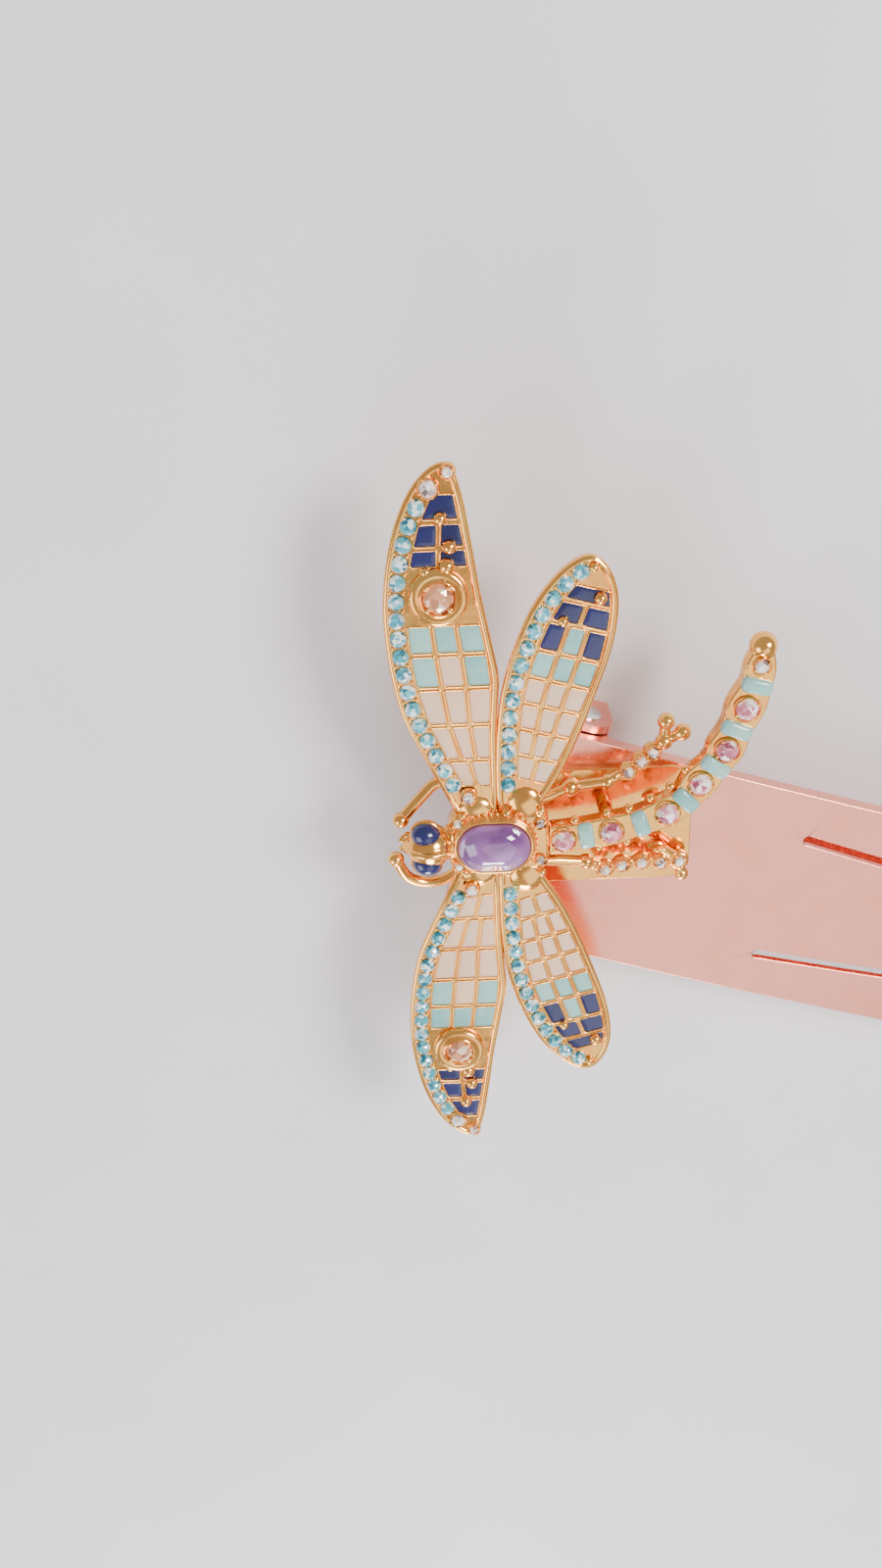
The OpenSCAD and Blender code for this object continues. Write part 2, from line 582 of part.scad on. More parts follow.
upper_jaw();
lower_jaw();
hinge_pin();
torsion_spring();
mount_plate();
plate_rivets();
body_posts();
thorax();
cabochon_bezel();
cabochon();
thorax_stones();
head();
eye(1);  // eye_left
eye(-1);  // eye_right
wing(fore, 1);  // forewing_left
wing(fore, -1);  // forewing_right
wing(hind, 1);  // hindwing_left
wing(hind, -1);  // hindwing_right
enamel(fore, 1, "n", "navy");  // forewing_navy_left
enamel(fore, 1, "a", "mediumaquamarine");  // forewing_aqua_left
enamel(fore, 1, "c", "antiquewhite");  // forewing_cream_left
wing_stones(fore, 1);  // forewing_stones_left
enamel(fore, -1, "n", "navy");  // forewing_navy_right
enamel(fore, -1, "a", "mediumaquamarine");  // forewing_aqua_right
enamel(fore, -1, "c", "antiquewhite");  // forewing_cream_right
wing_stones(fore, -1);  // forewing_stones_right
enamel(hind, 1, "n", "navy");  // hindwing_navy_left
enamel(hind, 1, "a", "mediumaquamarine");  // hindwing_aqua_left
enamel(hind, 1, "c", "antiquewhite");  // hindwing_cream_left
wing_stones(hind, 1);  // hindwing_stones_left
enamel(hind, -1, "n", "navy");  // hindwing_navy_right
enamel(hind, -1, "a", "mediumaquamarine");  // hindwing_aqua_right
enamel(hind, -1, "c", "antiquewhite");  // hindwing_cream_right
wing_stones(hind, -1);  // hindwing_stones_right
tip_bezel(1);  // tip_bezel_left
tip_bezel(-1);  // tip_bezel_right
tip_stone(1);  // tip_stone_left
tip_stone(-1);  // tip_stone_right
abdomen();
abdomen_enamel();
abdomen_stones();
tail_tip();
front_leg(front_leg_upper, 1);  // front_leg_left
front_leg(front_leg_lower, -1);  // front_leg_right
hind_leg(hind_leg_upper, upper_claws, upper_stone_joints, 1);  // hind_leg_left
hind_leg(hind_leg_lower, lower_claws, lower_stone_joints, -1);  // hind_leg_right
leg_stones(hind_leg_upper, upper_stone_joints);  // leg_stones_left
leg_stones(hind_leg_lower, lower_stone_joints);  // leg_stones_right
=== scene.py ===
"""Looks of the dragonfly hair clip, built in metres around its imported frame."""

from __future__ import annotations

import logging
import math
import random
import sys
from dataclasses import dataclass, field
from enum import Enum
from typing import Iterable, Sequence

import bmesh
import bpy
from bmesh.types import BMEdge, BMesh, BMFace, BMVert
from bpy.types import Material, NodeSocket, Object
from mathutils import Matrix, Vector

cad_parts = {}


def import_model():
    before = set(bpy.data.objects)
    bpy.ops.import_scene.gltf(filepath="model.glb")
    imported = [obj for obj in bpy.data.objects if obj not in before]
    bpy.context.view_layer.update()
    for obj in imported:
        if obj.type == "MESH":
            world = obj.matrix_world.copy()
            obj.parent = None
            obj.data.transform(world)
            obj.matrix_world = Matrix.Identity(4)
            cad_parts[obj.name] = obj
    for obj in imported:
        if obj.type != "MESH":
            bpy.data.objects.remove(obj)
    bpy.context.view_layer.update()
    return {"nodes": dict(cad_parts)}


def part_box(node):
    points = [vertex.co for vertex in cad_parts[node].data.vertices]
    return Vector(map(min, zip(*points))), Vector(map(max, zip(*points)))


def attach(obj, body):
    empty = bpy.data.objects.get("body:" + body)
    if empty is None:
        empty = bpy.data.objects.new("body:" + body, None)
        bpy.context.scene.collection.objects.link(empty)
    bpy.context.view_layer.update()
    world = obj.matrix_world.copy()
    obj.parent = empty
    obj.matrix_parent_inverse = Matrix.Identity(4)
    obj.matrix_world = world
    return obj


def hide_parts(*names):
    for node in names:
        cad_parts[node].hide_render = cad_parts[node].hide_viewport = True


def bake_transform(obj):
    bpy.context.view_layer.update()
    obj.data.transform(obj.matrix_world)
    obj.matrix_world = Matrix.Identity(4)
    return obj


MM = 0.001
UP = Vector((0, 0, 1))
LOG = logging.getLogger("dragonfly_clip")
Colour = tuple[float, float, float]
Spot = tuple[float, float, float]  # x and y on the dragonfly, then a radius or a height, in millimetres
SAME_PLACE = 1e-6  # corners nearer than this are one corner
HAIRLINE = 1e-7  # edges shorter than this are dropped
PATTERN_RANGE = (0.3, 0.7)  # where nearly all of a noise pattern's values lie
DOME_SHARES = (0.97, 0.9, 0.78, 0.6, 0.35)  # how wide a dome still is at each of its steps


class Side(Enum):
    """The dragonfly's two sides."""

    LEFT = "left"
    RIGHT = "right"


class Body(Enum):
    """The two bodies of the frame that the hinge joins."""

    LOWER = "lower_jaw"
    UPPER = "upper_jaw"


# ---------------------------------------------------------------- finishes


@dataclass
class Shader:
    """A material's node tree round one Principled shader.

    Args:
        name: the material's name.
    """

    name: str
    material: Material = field(init=False)

    def __post_init__(self) -> None:
        """Starts the tree with its shader and output."""
        self.material = bpy.data.materials.new(self.name)
        self.material.use_nodes = True
        self.tree = self.material.node_tree
        self.main = self.tree.nodes["Principled BSDF"]
        self.object_coordinates = self.add("ShaderNodeTexCoord").outputs["Object"]

    def add(self, kind: str, **values: object) -> bpy.types.Node:
        """Adds a node.

        Args:
            kind: the node's type name.
            **values: its properties, or its inputs where the name is one.

        Returns:
            The new node.
        """
        node = self.tree.nodes.new(kind)
        for name, value in values.items():
            title = name.replace("_", " ").title()
            if hasattr(node, name):
                setattr(node, name, value)
            else:
                node.inputs[title].default_value = value
        return node

    def link(self, source: NodeSocket, target: NodeSocket) -> None:
        """Joins two sockets."""
        self.tree.links.new(source, target)

    def feed(self, socket: str, source: NodeSocket) -> None:
        """Leads a pattern or colour into one of the shader's own sockets."""
        self.link(source, self.main.inputs[socket])

    def set(self, **values: object) -> None:
        """Sets the shader's own sockets, such as roughness=0.2 or coat_weight=1."""
        for name, value in values.items():
            self.main.inputs[name.replace("_", " ").title().replace("Ior", "IOR")].default_value = value

    def noise(self, scale: float, detail: float = 3.0, stretch: Sequence[float] = (1, 1, 1)) -> NodeSocket:
        """Adds a noise pattern fixed to the object.

        Args:
            scale: spots per metre.
            detail: octaves of detail.
            stretch: how much the pattern is squeezed along each axis.

        Returns:
            The pattern's value socket.
        """
        mapping = self.add("ShaderNodeMapping")
        mapping.inputs["Scale"].default_value = stretch
        self.link(self.object_coordinates, mapping.inputs["Vector"])
        pattern = self.add("ShaderNodeTexNoise", scale=scale, detail=detail)
        self.link(mapping.outputs["Vector"], pattern.inputs["Vector"])
        return pattern.outputs["Fac"]

    def ramp(self, source: NodeSocket, stops: Sequence[tuple[float, Colour]]) -> NodeSocket:
        """Turns a value into a colour.

        Args:
            source: the value's socket.
            stops: positions and their colours.

        Returns:
            The colour's socket.
        """
        node = self.add("ShaderNodeValToRGB")
        points = node.color_ramp.elements
        while len(points) < len(stops):
            points.new(0.5)
        for point, (place, colour) in zip(points, stops):
            point.position = place
            point.color = (*colour, 1.0)
        self.link(source, node.inputs["Fac"])
        return node.outputs["Color"]

    def between(self, source: NodeSocket, low: float, high: float) -> NodeSocket:
        """Stretches a pattern's usual range.

        Args:
            source: the pattern's socket.
            low: the least value it gets.
            high: the greatest.

        Returns:
            The stretched value's socket.
        """
        least, most = PATTERN_RANGE
        node = self.add("ShaderNodeMapRange", from_min=least, from_max=most, to_min=low, to_max=high)
        self.link(source, node.inputs["Value"])
        return node.outputs["Result"]

    def bump(self, source: NodeSocket, height: float, strength: float = 1.0) -> None:
        """Raises the surface by a pattern.

        Args:
            source: the pattern's socket.
            height: the pattern's height in metres.
            strength: how strongly it shows.
        """
        node = self.add("ShaderNodeBump", strength=strength, distance=height)
        self.link(source, node.inputs["Height"])
        previous = self.main.inputs["Normal"]
        if previous.is_linked:
            self.link(previous.links[0].from_socket, node.inputs["Normal"])
        self.link(node.outputs["Normal"], previous)


@dataclass(frozen=True)
class Plating:
    """A plated and polished metal.

    Args:
        name: the finish's name.
        bright: its colour where it is cleanest.
        deep: its colour where it is a little dulled.
        roughness: least and greatest roughness.
        cast: height of the soft unevenness left by casting, in millimetres.
        brushed: height of the fine lines along X, in millimetres.
        blotches: how fine the change between its two colours is, in spots per metre.
        wear: how fine the change in its roughness is.
        waves: how fine the unevenness left by casting is.
        lines: how fine the brushed lines are.
    """

    name: str
    bright: Colour
    deep: Colour
    roughness: tuple[float, float]
    cast: float = 0.0
    brushed: float = 0.0
    blotches: float = 260
    wear: float = 900
    waves: float = 1100
    lines: float = 2600

    def material(self) -> Material:
        """Makes the material."""
        shader = Shader(self.name)
        shader.set(metallic=1.0)
        blotches = shader.ramp(shader.noise(self.blotches, 4), [(0.35, self.deep), (0.62, self.bright)])
        shader.feed("Base Color", blotches)
        shader.feed("Roughness", shader.between(shader.noise(self.wear, 5), *self.roughness))
        if self.cast:
            shader.bump(shader.noise(self.waves, 2), self.cast * MM)
        if self.brushed:
            shader.bump(shader.noise(self.lines, 2, (0.03, 1, 1)), self.brushed * MM, 0.5)
        return shader.material


@dataclass(frozen=True)
class Enamel:
    """Glossy fired enamel, a little different in each cell.

    Args:
        name: the finish's name.
        light: its colour in the palest cells.
        dark: its colour in the deepest cells.
        cloud: its colour in the clouding within a cell.
        clouds: how fine the clouding is, in spots per metre.
        ripples: how fine the ripples in its surface are.
        ripple: height of the ripples, in millimetres.
    """

    name: str
    light: Colour
    dark: Colour
    cloud: Colour
    clouds: float = 700
    ripples: float = 1500
    ripple: float = 0.01

    def material(self) -> Material:
        """Makes the material."""
        shader = Shader(self.name)
        shader.set(roughness=0.22, coat_weight=0.5, coat_roughness=0.05, coat_ior=1.5)
        tint = shader.add("ShaderNodeAttribute", attribute_name="tint").outputs["Fac"]
        base = shader.ramp(tint, [(0.0, self.dark), (1.0, self.light)])
        mix = shader.add("ShaderNodeMix", data_type="RGBA")
        shader.link(shader.between(shader.noise(self.clouds, 3), 0.0, 0.55), mix.inputs["Factor"])
        shader.link(base, mix.inputs["A"])
        mix.inputs["B"].default_value = (*self.cloud, 1.0)
        shader.feed("Base Color", mix.outputs["Result"])
        shader.bump(shader.noise(self.ripples, 1), self.ripple * MM)
        return shader.material


@dataclass(frozen=True)
class Gem:
    """A cut stone, its colour broken into patches of painted glint, its own colour and painted facet shade.

    Args:
        name: the finish's name.
        light: its painted glint colour, in its palest patches.
        mid: its own colour.
        dark: its painted facet shade, in its darkest patches.
        glint_patch_scale: patches of painted glint and painted shade per metre.
    """

    name: str
    light: Colour
    mid: Colour
    dark: Colour
    glint_patch_scale: float = 2300

    def material(self) -> Material:
        """Makes the material."""
        shader = Shader(self.name)
        shader.set(roughness=0.05, metallic=0.25, coat_weight=1.0, coat_roughness=0.02, ior=1.6)
        # Painted light: random patches fixed to the stone, pale ones painted glints and dark ones painted
        # facet shade.
        glint_patches = shader.add("ShaderNodeTexVoronoi", scale=self.glint_patch_scale)
        shader.link(shader.object_coordinates, glint_patches.inputs["Vector"])
        stops = [(0.2, self.dark), (0.38, self.mid), (0.54, self.mid), (0.70, self.light)]
        shader.feed("Base Color", shader.ramp(glint_patches.outputs["Color"], stops))
        return shader.material


@dataclass(frozen=True)
class Cabochon:
    """A smooth translucent stone with paler and darker clouds.

    Args:
        name: the finish's name.
        light: its colour in its palest clouds.
        dark: its colour in its deepest ones.
        clouds: how fine its clouds are, in spots per metre.
    """

    name: str
    light: Colour
    dark: Colour
    clouds: float = 260

    def material(self) -> Material:
        """Makes the material."""
        shader = Shader(self.name)
        shader.set(roughness=0.06, transmission_weight=0.25, ior=1.55, coat_weight=1.0, coat_roughness=0.02)
        shader.set(subsurface_weight=0.3, subsurface_scale=0.002)
        clouds = shader.ramp(shader.noise(self.clouds, 2), [(0.34, self.dark), (0.64, self.light)])
        shader.feed("Base Color", clouds)
        return shader.material


@dataclass(frozen=True)
class Finishes:
    """Every finish on the clip, by the record's slot name."""

    gold: Plating = Plating("gold_plate", (1.0, 0.53, 0.13), (0.96, 0.42, 0.09), (0.10, 0.22), cast=0.012)
    rose: Plating = Plating("rose_plate", (0.97, 0.39, 0.29), (0.95, 0.36, 0.26), (0.24, 0.3), brushed=0.0006)
    steel: Plating = Plating("spring_steel", (0.74, 0.74, 0.77), (0.56, 0.56, 0.60), (0.14, 0.3))
    navy: Enamel = Enamel("navy_enamel", (0.011, 0.014, 0.105), (0.005, 0.006, 0.05), (0.008, 0.011, 0.075))
    aqua: Enamel = Enamel("aqua_enamel", (0.25, 0.50, 0.47), (0.13, 0.38, 0.38), (0.34, 0.52, 0.42))
    cream: Enamel = Enamel("cream_enamel", (0.78, 0.52, 0.32), (0.66, 0.50, 0.34), (0.80, 0.43, 0.31))
    # In each stone the first colour is a painted glint and the last a painted facet shade; the number after
    # them sets how fine the patches are.
    aqua_stone: Gem = Gem("aqua_stone", (0.92, 1.0, 1.0), (0.08, 0.45, 0.55), (0.0, 0.16, 0.24))
    pink_stone: Gem = Gem("pink_stone", (1.0, 0.90, 0.92), (0.80, 0.28, 0.36), (0.36, 0.07, 0.12), 1700)
    clear_stone: Gem = Gem("clear_stone", (1.0, 1.0, 1.0), (0.76, 0.64, 0.58), (0.18, 0.12, 0.11), 2000)
    champagne_stone: Gem = Gem("champagne_stone", (1, 0.8, 0.55), (0.74, 0.32, 0.16), (0.36, 0.12, 0.06), 1200)
    amethyst: Cabochon = Cabochon("amethyst", (0.50, 0.20, 0.50), (0.22, 0.055, 0.25))

    def materials(self) -> dict[str, Material]:
        """Makes each finish once, by its slot's name."""
        finishes = [getattr(self, name) for name in self.__dataclass_fields__]
        return {finish.name: finish.material() for finish in finishes}


# ---------------------------------------------------------------- modelling


def in_scene(name: str, data: bpy.types.ID) -> Object:
    """Puts a new object with this mesh, lamp or camera in the scene."""
    thing = bpy.data.objects.new(name, data)
    bpy.context.scene.collection.objects.link(thing)
    return thing


def merged(node: Object) -> BMesh:
    """Joins a CAD node's loose triangles into closed shells.

    Args:
        node: the CAD node's object.

    Returns:
        A new mesh, which the caller frees.
    """
    bm = bmesh.new()
    bm.from_mesh(node.data)
    bmesh.ops.remove_doubles(bm, verts=bm.verts, dist=SAME_PLACE)
    bmesh.ops.dissolve_degenerate(bm, edges=bm.edges, dist=HAIRLINE)
    return bm


def add_mesh(bm: BMesh, other: BMesh) -> None:
    """Adds another mesh to a mesh.

    Args:
        bm: the mesh to add it to.
        other: the mesh to add, which is freed.
    """
    spare = bpy.data.meshes.new("spare")
    other.to_mesh(spare)
    other.free()
    bm.from_mesh(spare)
    bpy.data.meshes.remove(spare)


def solids(node: Object) -> list[list[Vector]]:
    """The corners of each separate solid in a CAD node.

    Args:
        node: the CAD node's object.

    Returns:
        One list of corners for each solid.
    """
    bm = merged(node)
    left = set(bm.verts)
    found = []
    while left:
        start = min(left, key=lambda v: v.index)
        reached, fringe = {start}, [start]
        while fringe:
            vert = fringe.pop()
            for edge in vert.link_edges:
                other = edge.other_vert(vert)
                if other not in reached:
                    reached.add(other)
                    fringe.append(other)
        left -= reached
        found.append([v.co.copy() for v in sorted(reached, key=lambda v: v.index)])
    bm.free()
    return found


def limits(points: Iterable[Vector]) -> tuple[Vector, Vector]:
    """The least and greatest corner of the points' box."""
    points = list(points)
    return tuple(Vector(pick(p[i] for p in points) for i in range(3)) for pick in (min, max))


def middle(points: Iterable[Vector]) -> Vector:
    """The centre of the points' box."""
    low, high = limits(points)
    return (low + high) / 2


def heading(p: Vector, centre: Vector) -> float:
    """The direction from a centre to a point, seen from above."""
    return math.atan2(p.y - centre.y, p.x - centre.x)


def upper_rim(points: Sequence[Vector]) -> list[Vector]:
    """Picks the corners of a prism's top face.

    Args:
        points: all its corners.

    Returns:
        The top face's corners in order round it.
    """
    _, high = limits(points)
    centre = middle(points)
    rim = [p for p in points if p.z > high.z - 0.01 * MM]
    return sorted(rim, key=lambda p: heading(p, centre))


def circle(centre: Vector, across: Vector, up: Vector, steps: int = 32) -> list[Vector]:
    """Points round a circle or an oval.

    Args:
        centre: its centre.
        across: from its centre to its first point.
        up: from its centre to the point a quarter turn on.
        steps: how many points.

    Returns:
        The points in order.
    """
    angles = (2 * math.pi * k / steps for k in range(steps))
    return [centre + across * math.cos(angle) + up * math.sin(angle) for angle in angles]


def soft_corners(outline: Sequence[Vector], radius: float, steps: int = 4) -> list[Vector]:
    """Rounds the corners of a closed outline.

    Args:
        outline: its corners in order.
        radius: how far from a corner the rounding starts.
        steps: stretches in each rounding.

    Returns:
        The rounded outline's points.
    """
    path = []
    for i, corner in enumerate(outline):
        before, after = outline[i - 1] - corner, outline[(i + 1) % len(outline)] - corner
        one = corner + before.normalized() * min(radius, before.length * 0.45)
        two = corner + after.normalized() * min(radius, after.length * 0.45)
        for k in range(steps + 1):
            t = k / steps
            path.append(one * (1 - t) ** 2 + corner * 2 * t * (1 - t) + two * t**2)
    return path


def smooth_path(points: Sequence[Vector], steps: int, closed: bool = False) -> list[Vector]:
    """Draws a smooth curve through points.

    Args:
        points: the points in order.
        steps: stretches between two neighbours.
        closed: whether the last point leads back to the first.

    Returns:
        The curve's points.
    """
    count = len(points)
    pick = (lambda k: points[k % count]) if closed else (lambda k: points[min(max(k, 0), count - 1)])
    path = []
    for i in range(count if closed else count - 1):
        a, b, c, d = (pick(k) for k in (i - 1, i, i + 1, i + 2))
        for k in range(steps):
            t = k / steps
            square, cube = 2 * a - 5 * b + 4 * c - d, 3 * b - a - 3 * c + d
            path.append((2 * b + (c - a) * t + square * t**2 + cube * t**3) / 2)
    return path if closed else path + [points[-1]]


def add_tube(
    bm: BMesh, points: Sequence[Vector], radii: Sequence[float] | float, sides: int = 12, closed: bool = False
) -> None:
    """Adds a round tube along points.

    Args:
        bm: the mesh to add it to.
        points: the middle of each ring.
        radii: each ring's radius, or one for all.
        sides: corners of a ring.
        closed: whether the tube runs back to its start, or its ends are capped.
    """
    count = len(points)
    if isinstance(radii, float):
        radii = [radii] * count
    turn, last, rings = Matrix.Identity(4), UP, []
    for i, (at, radius) in enumerate(zip(points, radii)):
        before = points[i - 1] if closed or i else at
        after = points[(i + 1) % count] if closed or i < count - 1 else at
        along = (after - before).normalized()
        turn = last.rotation_difference(along).to_matrix().to_4x4() @ turn
        last = along
        place = Matrix.Translation(at) @ turn
        ring = bmesh.ops.create_circle(bm, segments=sides, radius=radius, matrix=place)
        rings.append(list({e for v in ring["verts"] for e in v.link_edges}))
    pairs = list(zip(rings, rings[1:])) + ([(rings[-1], rings[0])] if closed else [])
    for one, two in pairs:
        bmesh.ops.bridge_loops(bm, edges=one + two)
    if not closed:
        for ring in (rings[0], rings[-1]):
            bmesh.ops.edgeloop_fill(bm, edges=ring)


def add_ball(
    bm: BMesh, at: Vector, radius: float, stretch: Sequence[float] = (1, 1, 1), fine: bool = False
) -> None:
    """Adds a ball or, stretched, an egg.

    Args:
        bm: the mesh to add it to.
        at: its centre.
        radius: its radius.
        stretch: how much longer it is along each axis.
        fine: whether it is large enough to need many faces.
    """
    place = Matrix.Translation(at) @ Matrix.Diagonal((*stretch, 1))
    around, up = (32, 20) if fine else (10, 7)
    bmesh.ops.create_uvsphere(bm, u_segments=around, v_segments=up, radius=radius, matrix=place)


def add_dome(bm: BMesh, outline: Sequence[Vector], foot: float, rise: float, full: float = 2.0) -> None:
    """Adds a dome with straight sides below it over any outline.

    Args:
        bm: the mesh to add it to.
        outline: the corners of the dome's lower edge.
        foot: height of the straight sides.
        rise: height of the dome.
        full: how fully the dome swells: 2 is round, more is flatter on top.
    """
    centre = sum(outline, Vector()) / len(outline)
    lowest = [bm.verts.new(p - UP * foot) for p in outline]
    face = bm.faces.new(lowest)
    rings = [(1.0, 0.0)] + [(x, (1 - x**full) ** (1 / full)) for x in DOME_SHARES]
    for share, level in rings:
        made = bmesh.ops.extrude_face_region(bm, geom=[face])["geom"]
        face = next(g for g in made if isinstance(g, BMFace))
        for vert, start in zip(face.verts, in_face_order(face, outline, centre)):
            vert.co = centre.lerp(start, share) + UP * rise * level


def in_face_order(face: BMFace, outline: Sequence[Vector], centre: Vector) -> list[Vector]:
    """Matches an outline's points to a face's corners by their direction from the centre.

    Args:
        face: the face.
        outline: as many points as it has corners.
        centre: the centre of both.

    Returns:
        The points in the order of the face's corners.
    """
    corners = sorted(face.verts, key=lambda v: heading(v.co, centre))
    match = dict(zip(corners, sorted(outline, key=lambda p: heading(p, centre))))
    return [match[vert] for vert in face.verts]


def add_enamel(
    bm: BMesh, outline: Sequence[Vector], foot: float, rise: float, full: float, shade: float
) -> None:
    """Adds a dome of enamel in a shade of its own.

    Args:
        bm: the mesh to add it to.
        outline: the corners of the dome's lower edge.
        foot: height of the straight sides.
        rise: height of the dome.
        full: how fully the dome swells.
        shade: from 0, its finish's dark colour, to 1, the light one.
    """
    tint = bm.verts.layers.float.get("tint") or bm.verts.layers.float.new("tint")
    before = set(bm.verts)
    add_dome(bm, outline, foot, rise, full)
    for vert in bm.verts:
        if vert not in before:
            vert[tint] = shade


def add_cut_stone(bm: BMesh, at: Vector, radius: float, height: float, turn: float = 0.0) -> None:
    """Adds a brilliant-cut stone, eight-sided at its table.

    Args:
        bm: the mesh to add it to.
        at: the middle of its girdle's foot.
        radius: its girdle's radius.
        height: height of its table above the foot.
        turn: angle it is turned in its setting.
    """
    rings = ((1.0, 0.0, 2, 0.0), (1.0, 0.22, 2, 0.0), (0.80, 0.70, 1, 0.5), (0.55, 1.0, 1, 0.0))
    corners: list[BMVert] = []
    for share, level, per_side, shift in rings:
        spin = Matrix.Rotation(turn + math.pi / 4 * shift, 4, "Z")
        place = Matrix.Translation(at + UP * height * level) @ spin
        ring = bmesh.ops.create_circle(bm, segments=8 * per_side, radius=radius * share, matrix=place)
        corners += ring["verts"]
    bmesh.ops.convex_hull(bm, input=corners)


def add_prongs(
    bm: BMesh, at: Vector, reach: float, height: float, radius: float, turn: Matrix, flat: float = 1.0
) -> None:
    """Adds the round heads of the four prongs that hold a stone.

    Args:
        bm: the mesh to add them to.
        at: the stone's foot.
        reach: from the stone's axis to a prong.
        height: of the prongs' middles above the foot.
        radius: a prong head's radius.
        turn: how the setting is turned.
        flat: a prong head's height against its width.
    """
    for k in range(4):
        angle = math.pi * (k + 0.5) / 2
        out = turn @ Vector((math.cos(angle), math.sin(angle), 0))
        add_ball(bm, at + out * reach + UP * height, radius, (1, 1, flat))


def add_lathe(bm: BMesh, at: Vector, profile: Sequence[tuple[float, float]], steps: int = 40) -> None:
    """Turns a closed or axis-touching profile round an upright axis.

    Args:
        bm: the mesh to add it to.
        at: the axis's foot.
        profile: distance from the axis and height of each point.
        steps: faces round the axis.
    """
    verts = [bm.verts.new(at + Vector((r, 0, z))) for r, z in profile]
    edges = [bm.edges.new(pair) for pair in zip(verts, verts[1:])]
    if profile[0][0] > 0:
        edges.append(bm.edges.new((verts[-1], verts[0])))
    before = set(bm.verts) - set(verts)
    bmesh.ops.spin(
        bm, geom=verts + edges, cent=at, axis=UP, angle=2 * math.pi, steps=steps, use_merge=True
    )
    bmesh.ops.remove_doubles(bm, verts=[v for v in bm.verts if v not in before], dist=HAIRLINE)


@dataclass
class Ornament:
    """The dragonfly's own directions: X towards its tail, Y to its left, the origin under its cabochon."""

    origin: Vector = field(init=False)
    turn: Matrix = field(init=False)

    def __post_init__(self) -> None:
        """Reads them off the cabochon and the eyes."""
        self.origin = middle(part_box("cabochon"))
        wing_low, wing_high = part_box("forewing_left")
        self.origin.z = (wing_low.z + wing_high.z) / 2
        left = (middle(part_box("eye_left")) - middle(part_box("eye_right"))).normalized()
        self.turn = Matrix((left.cross(UP), left, UP)).transposed()

    def at(self, x: float, y: float, z: float) -> Vector:
        """A place on the dragonfly, given in millimetres."""
        return self.origin + self.turn @ Vector((x, y, z)) * MM

    def path(self, points: Iterable[Sequence[float]]) -> list[Vector]:
        """Places on the dragonfly, given in millimetres."""
        return [self.at(*p[:3]) for p in points]

    def turned(self, bm: BMesh) -> BMesh:
        """Moves a mesh made round the world's origin into place on the dragonfly.

        Args:
            bm: the mesh, in metres.

        Returns:
            The same mesh.
        """
        bm.transform(Matrix.Translation(self.origin) @ self.turn.to_4x4())
        return bm


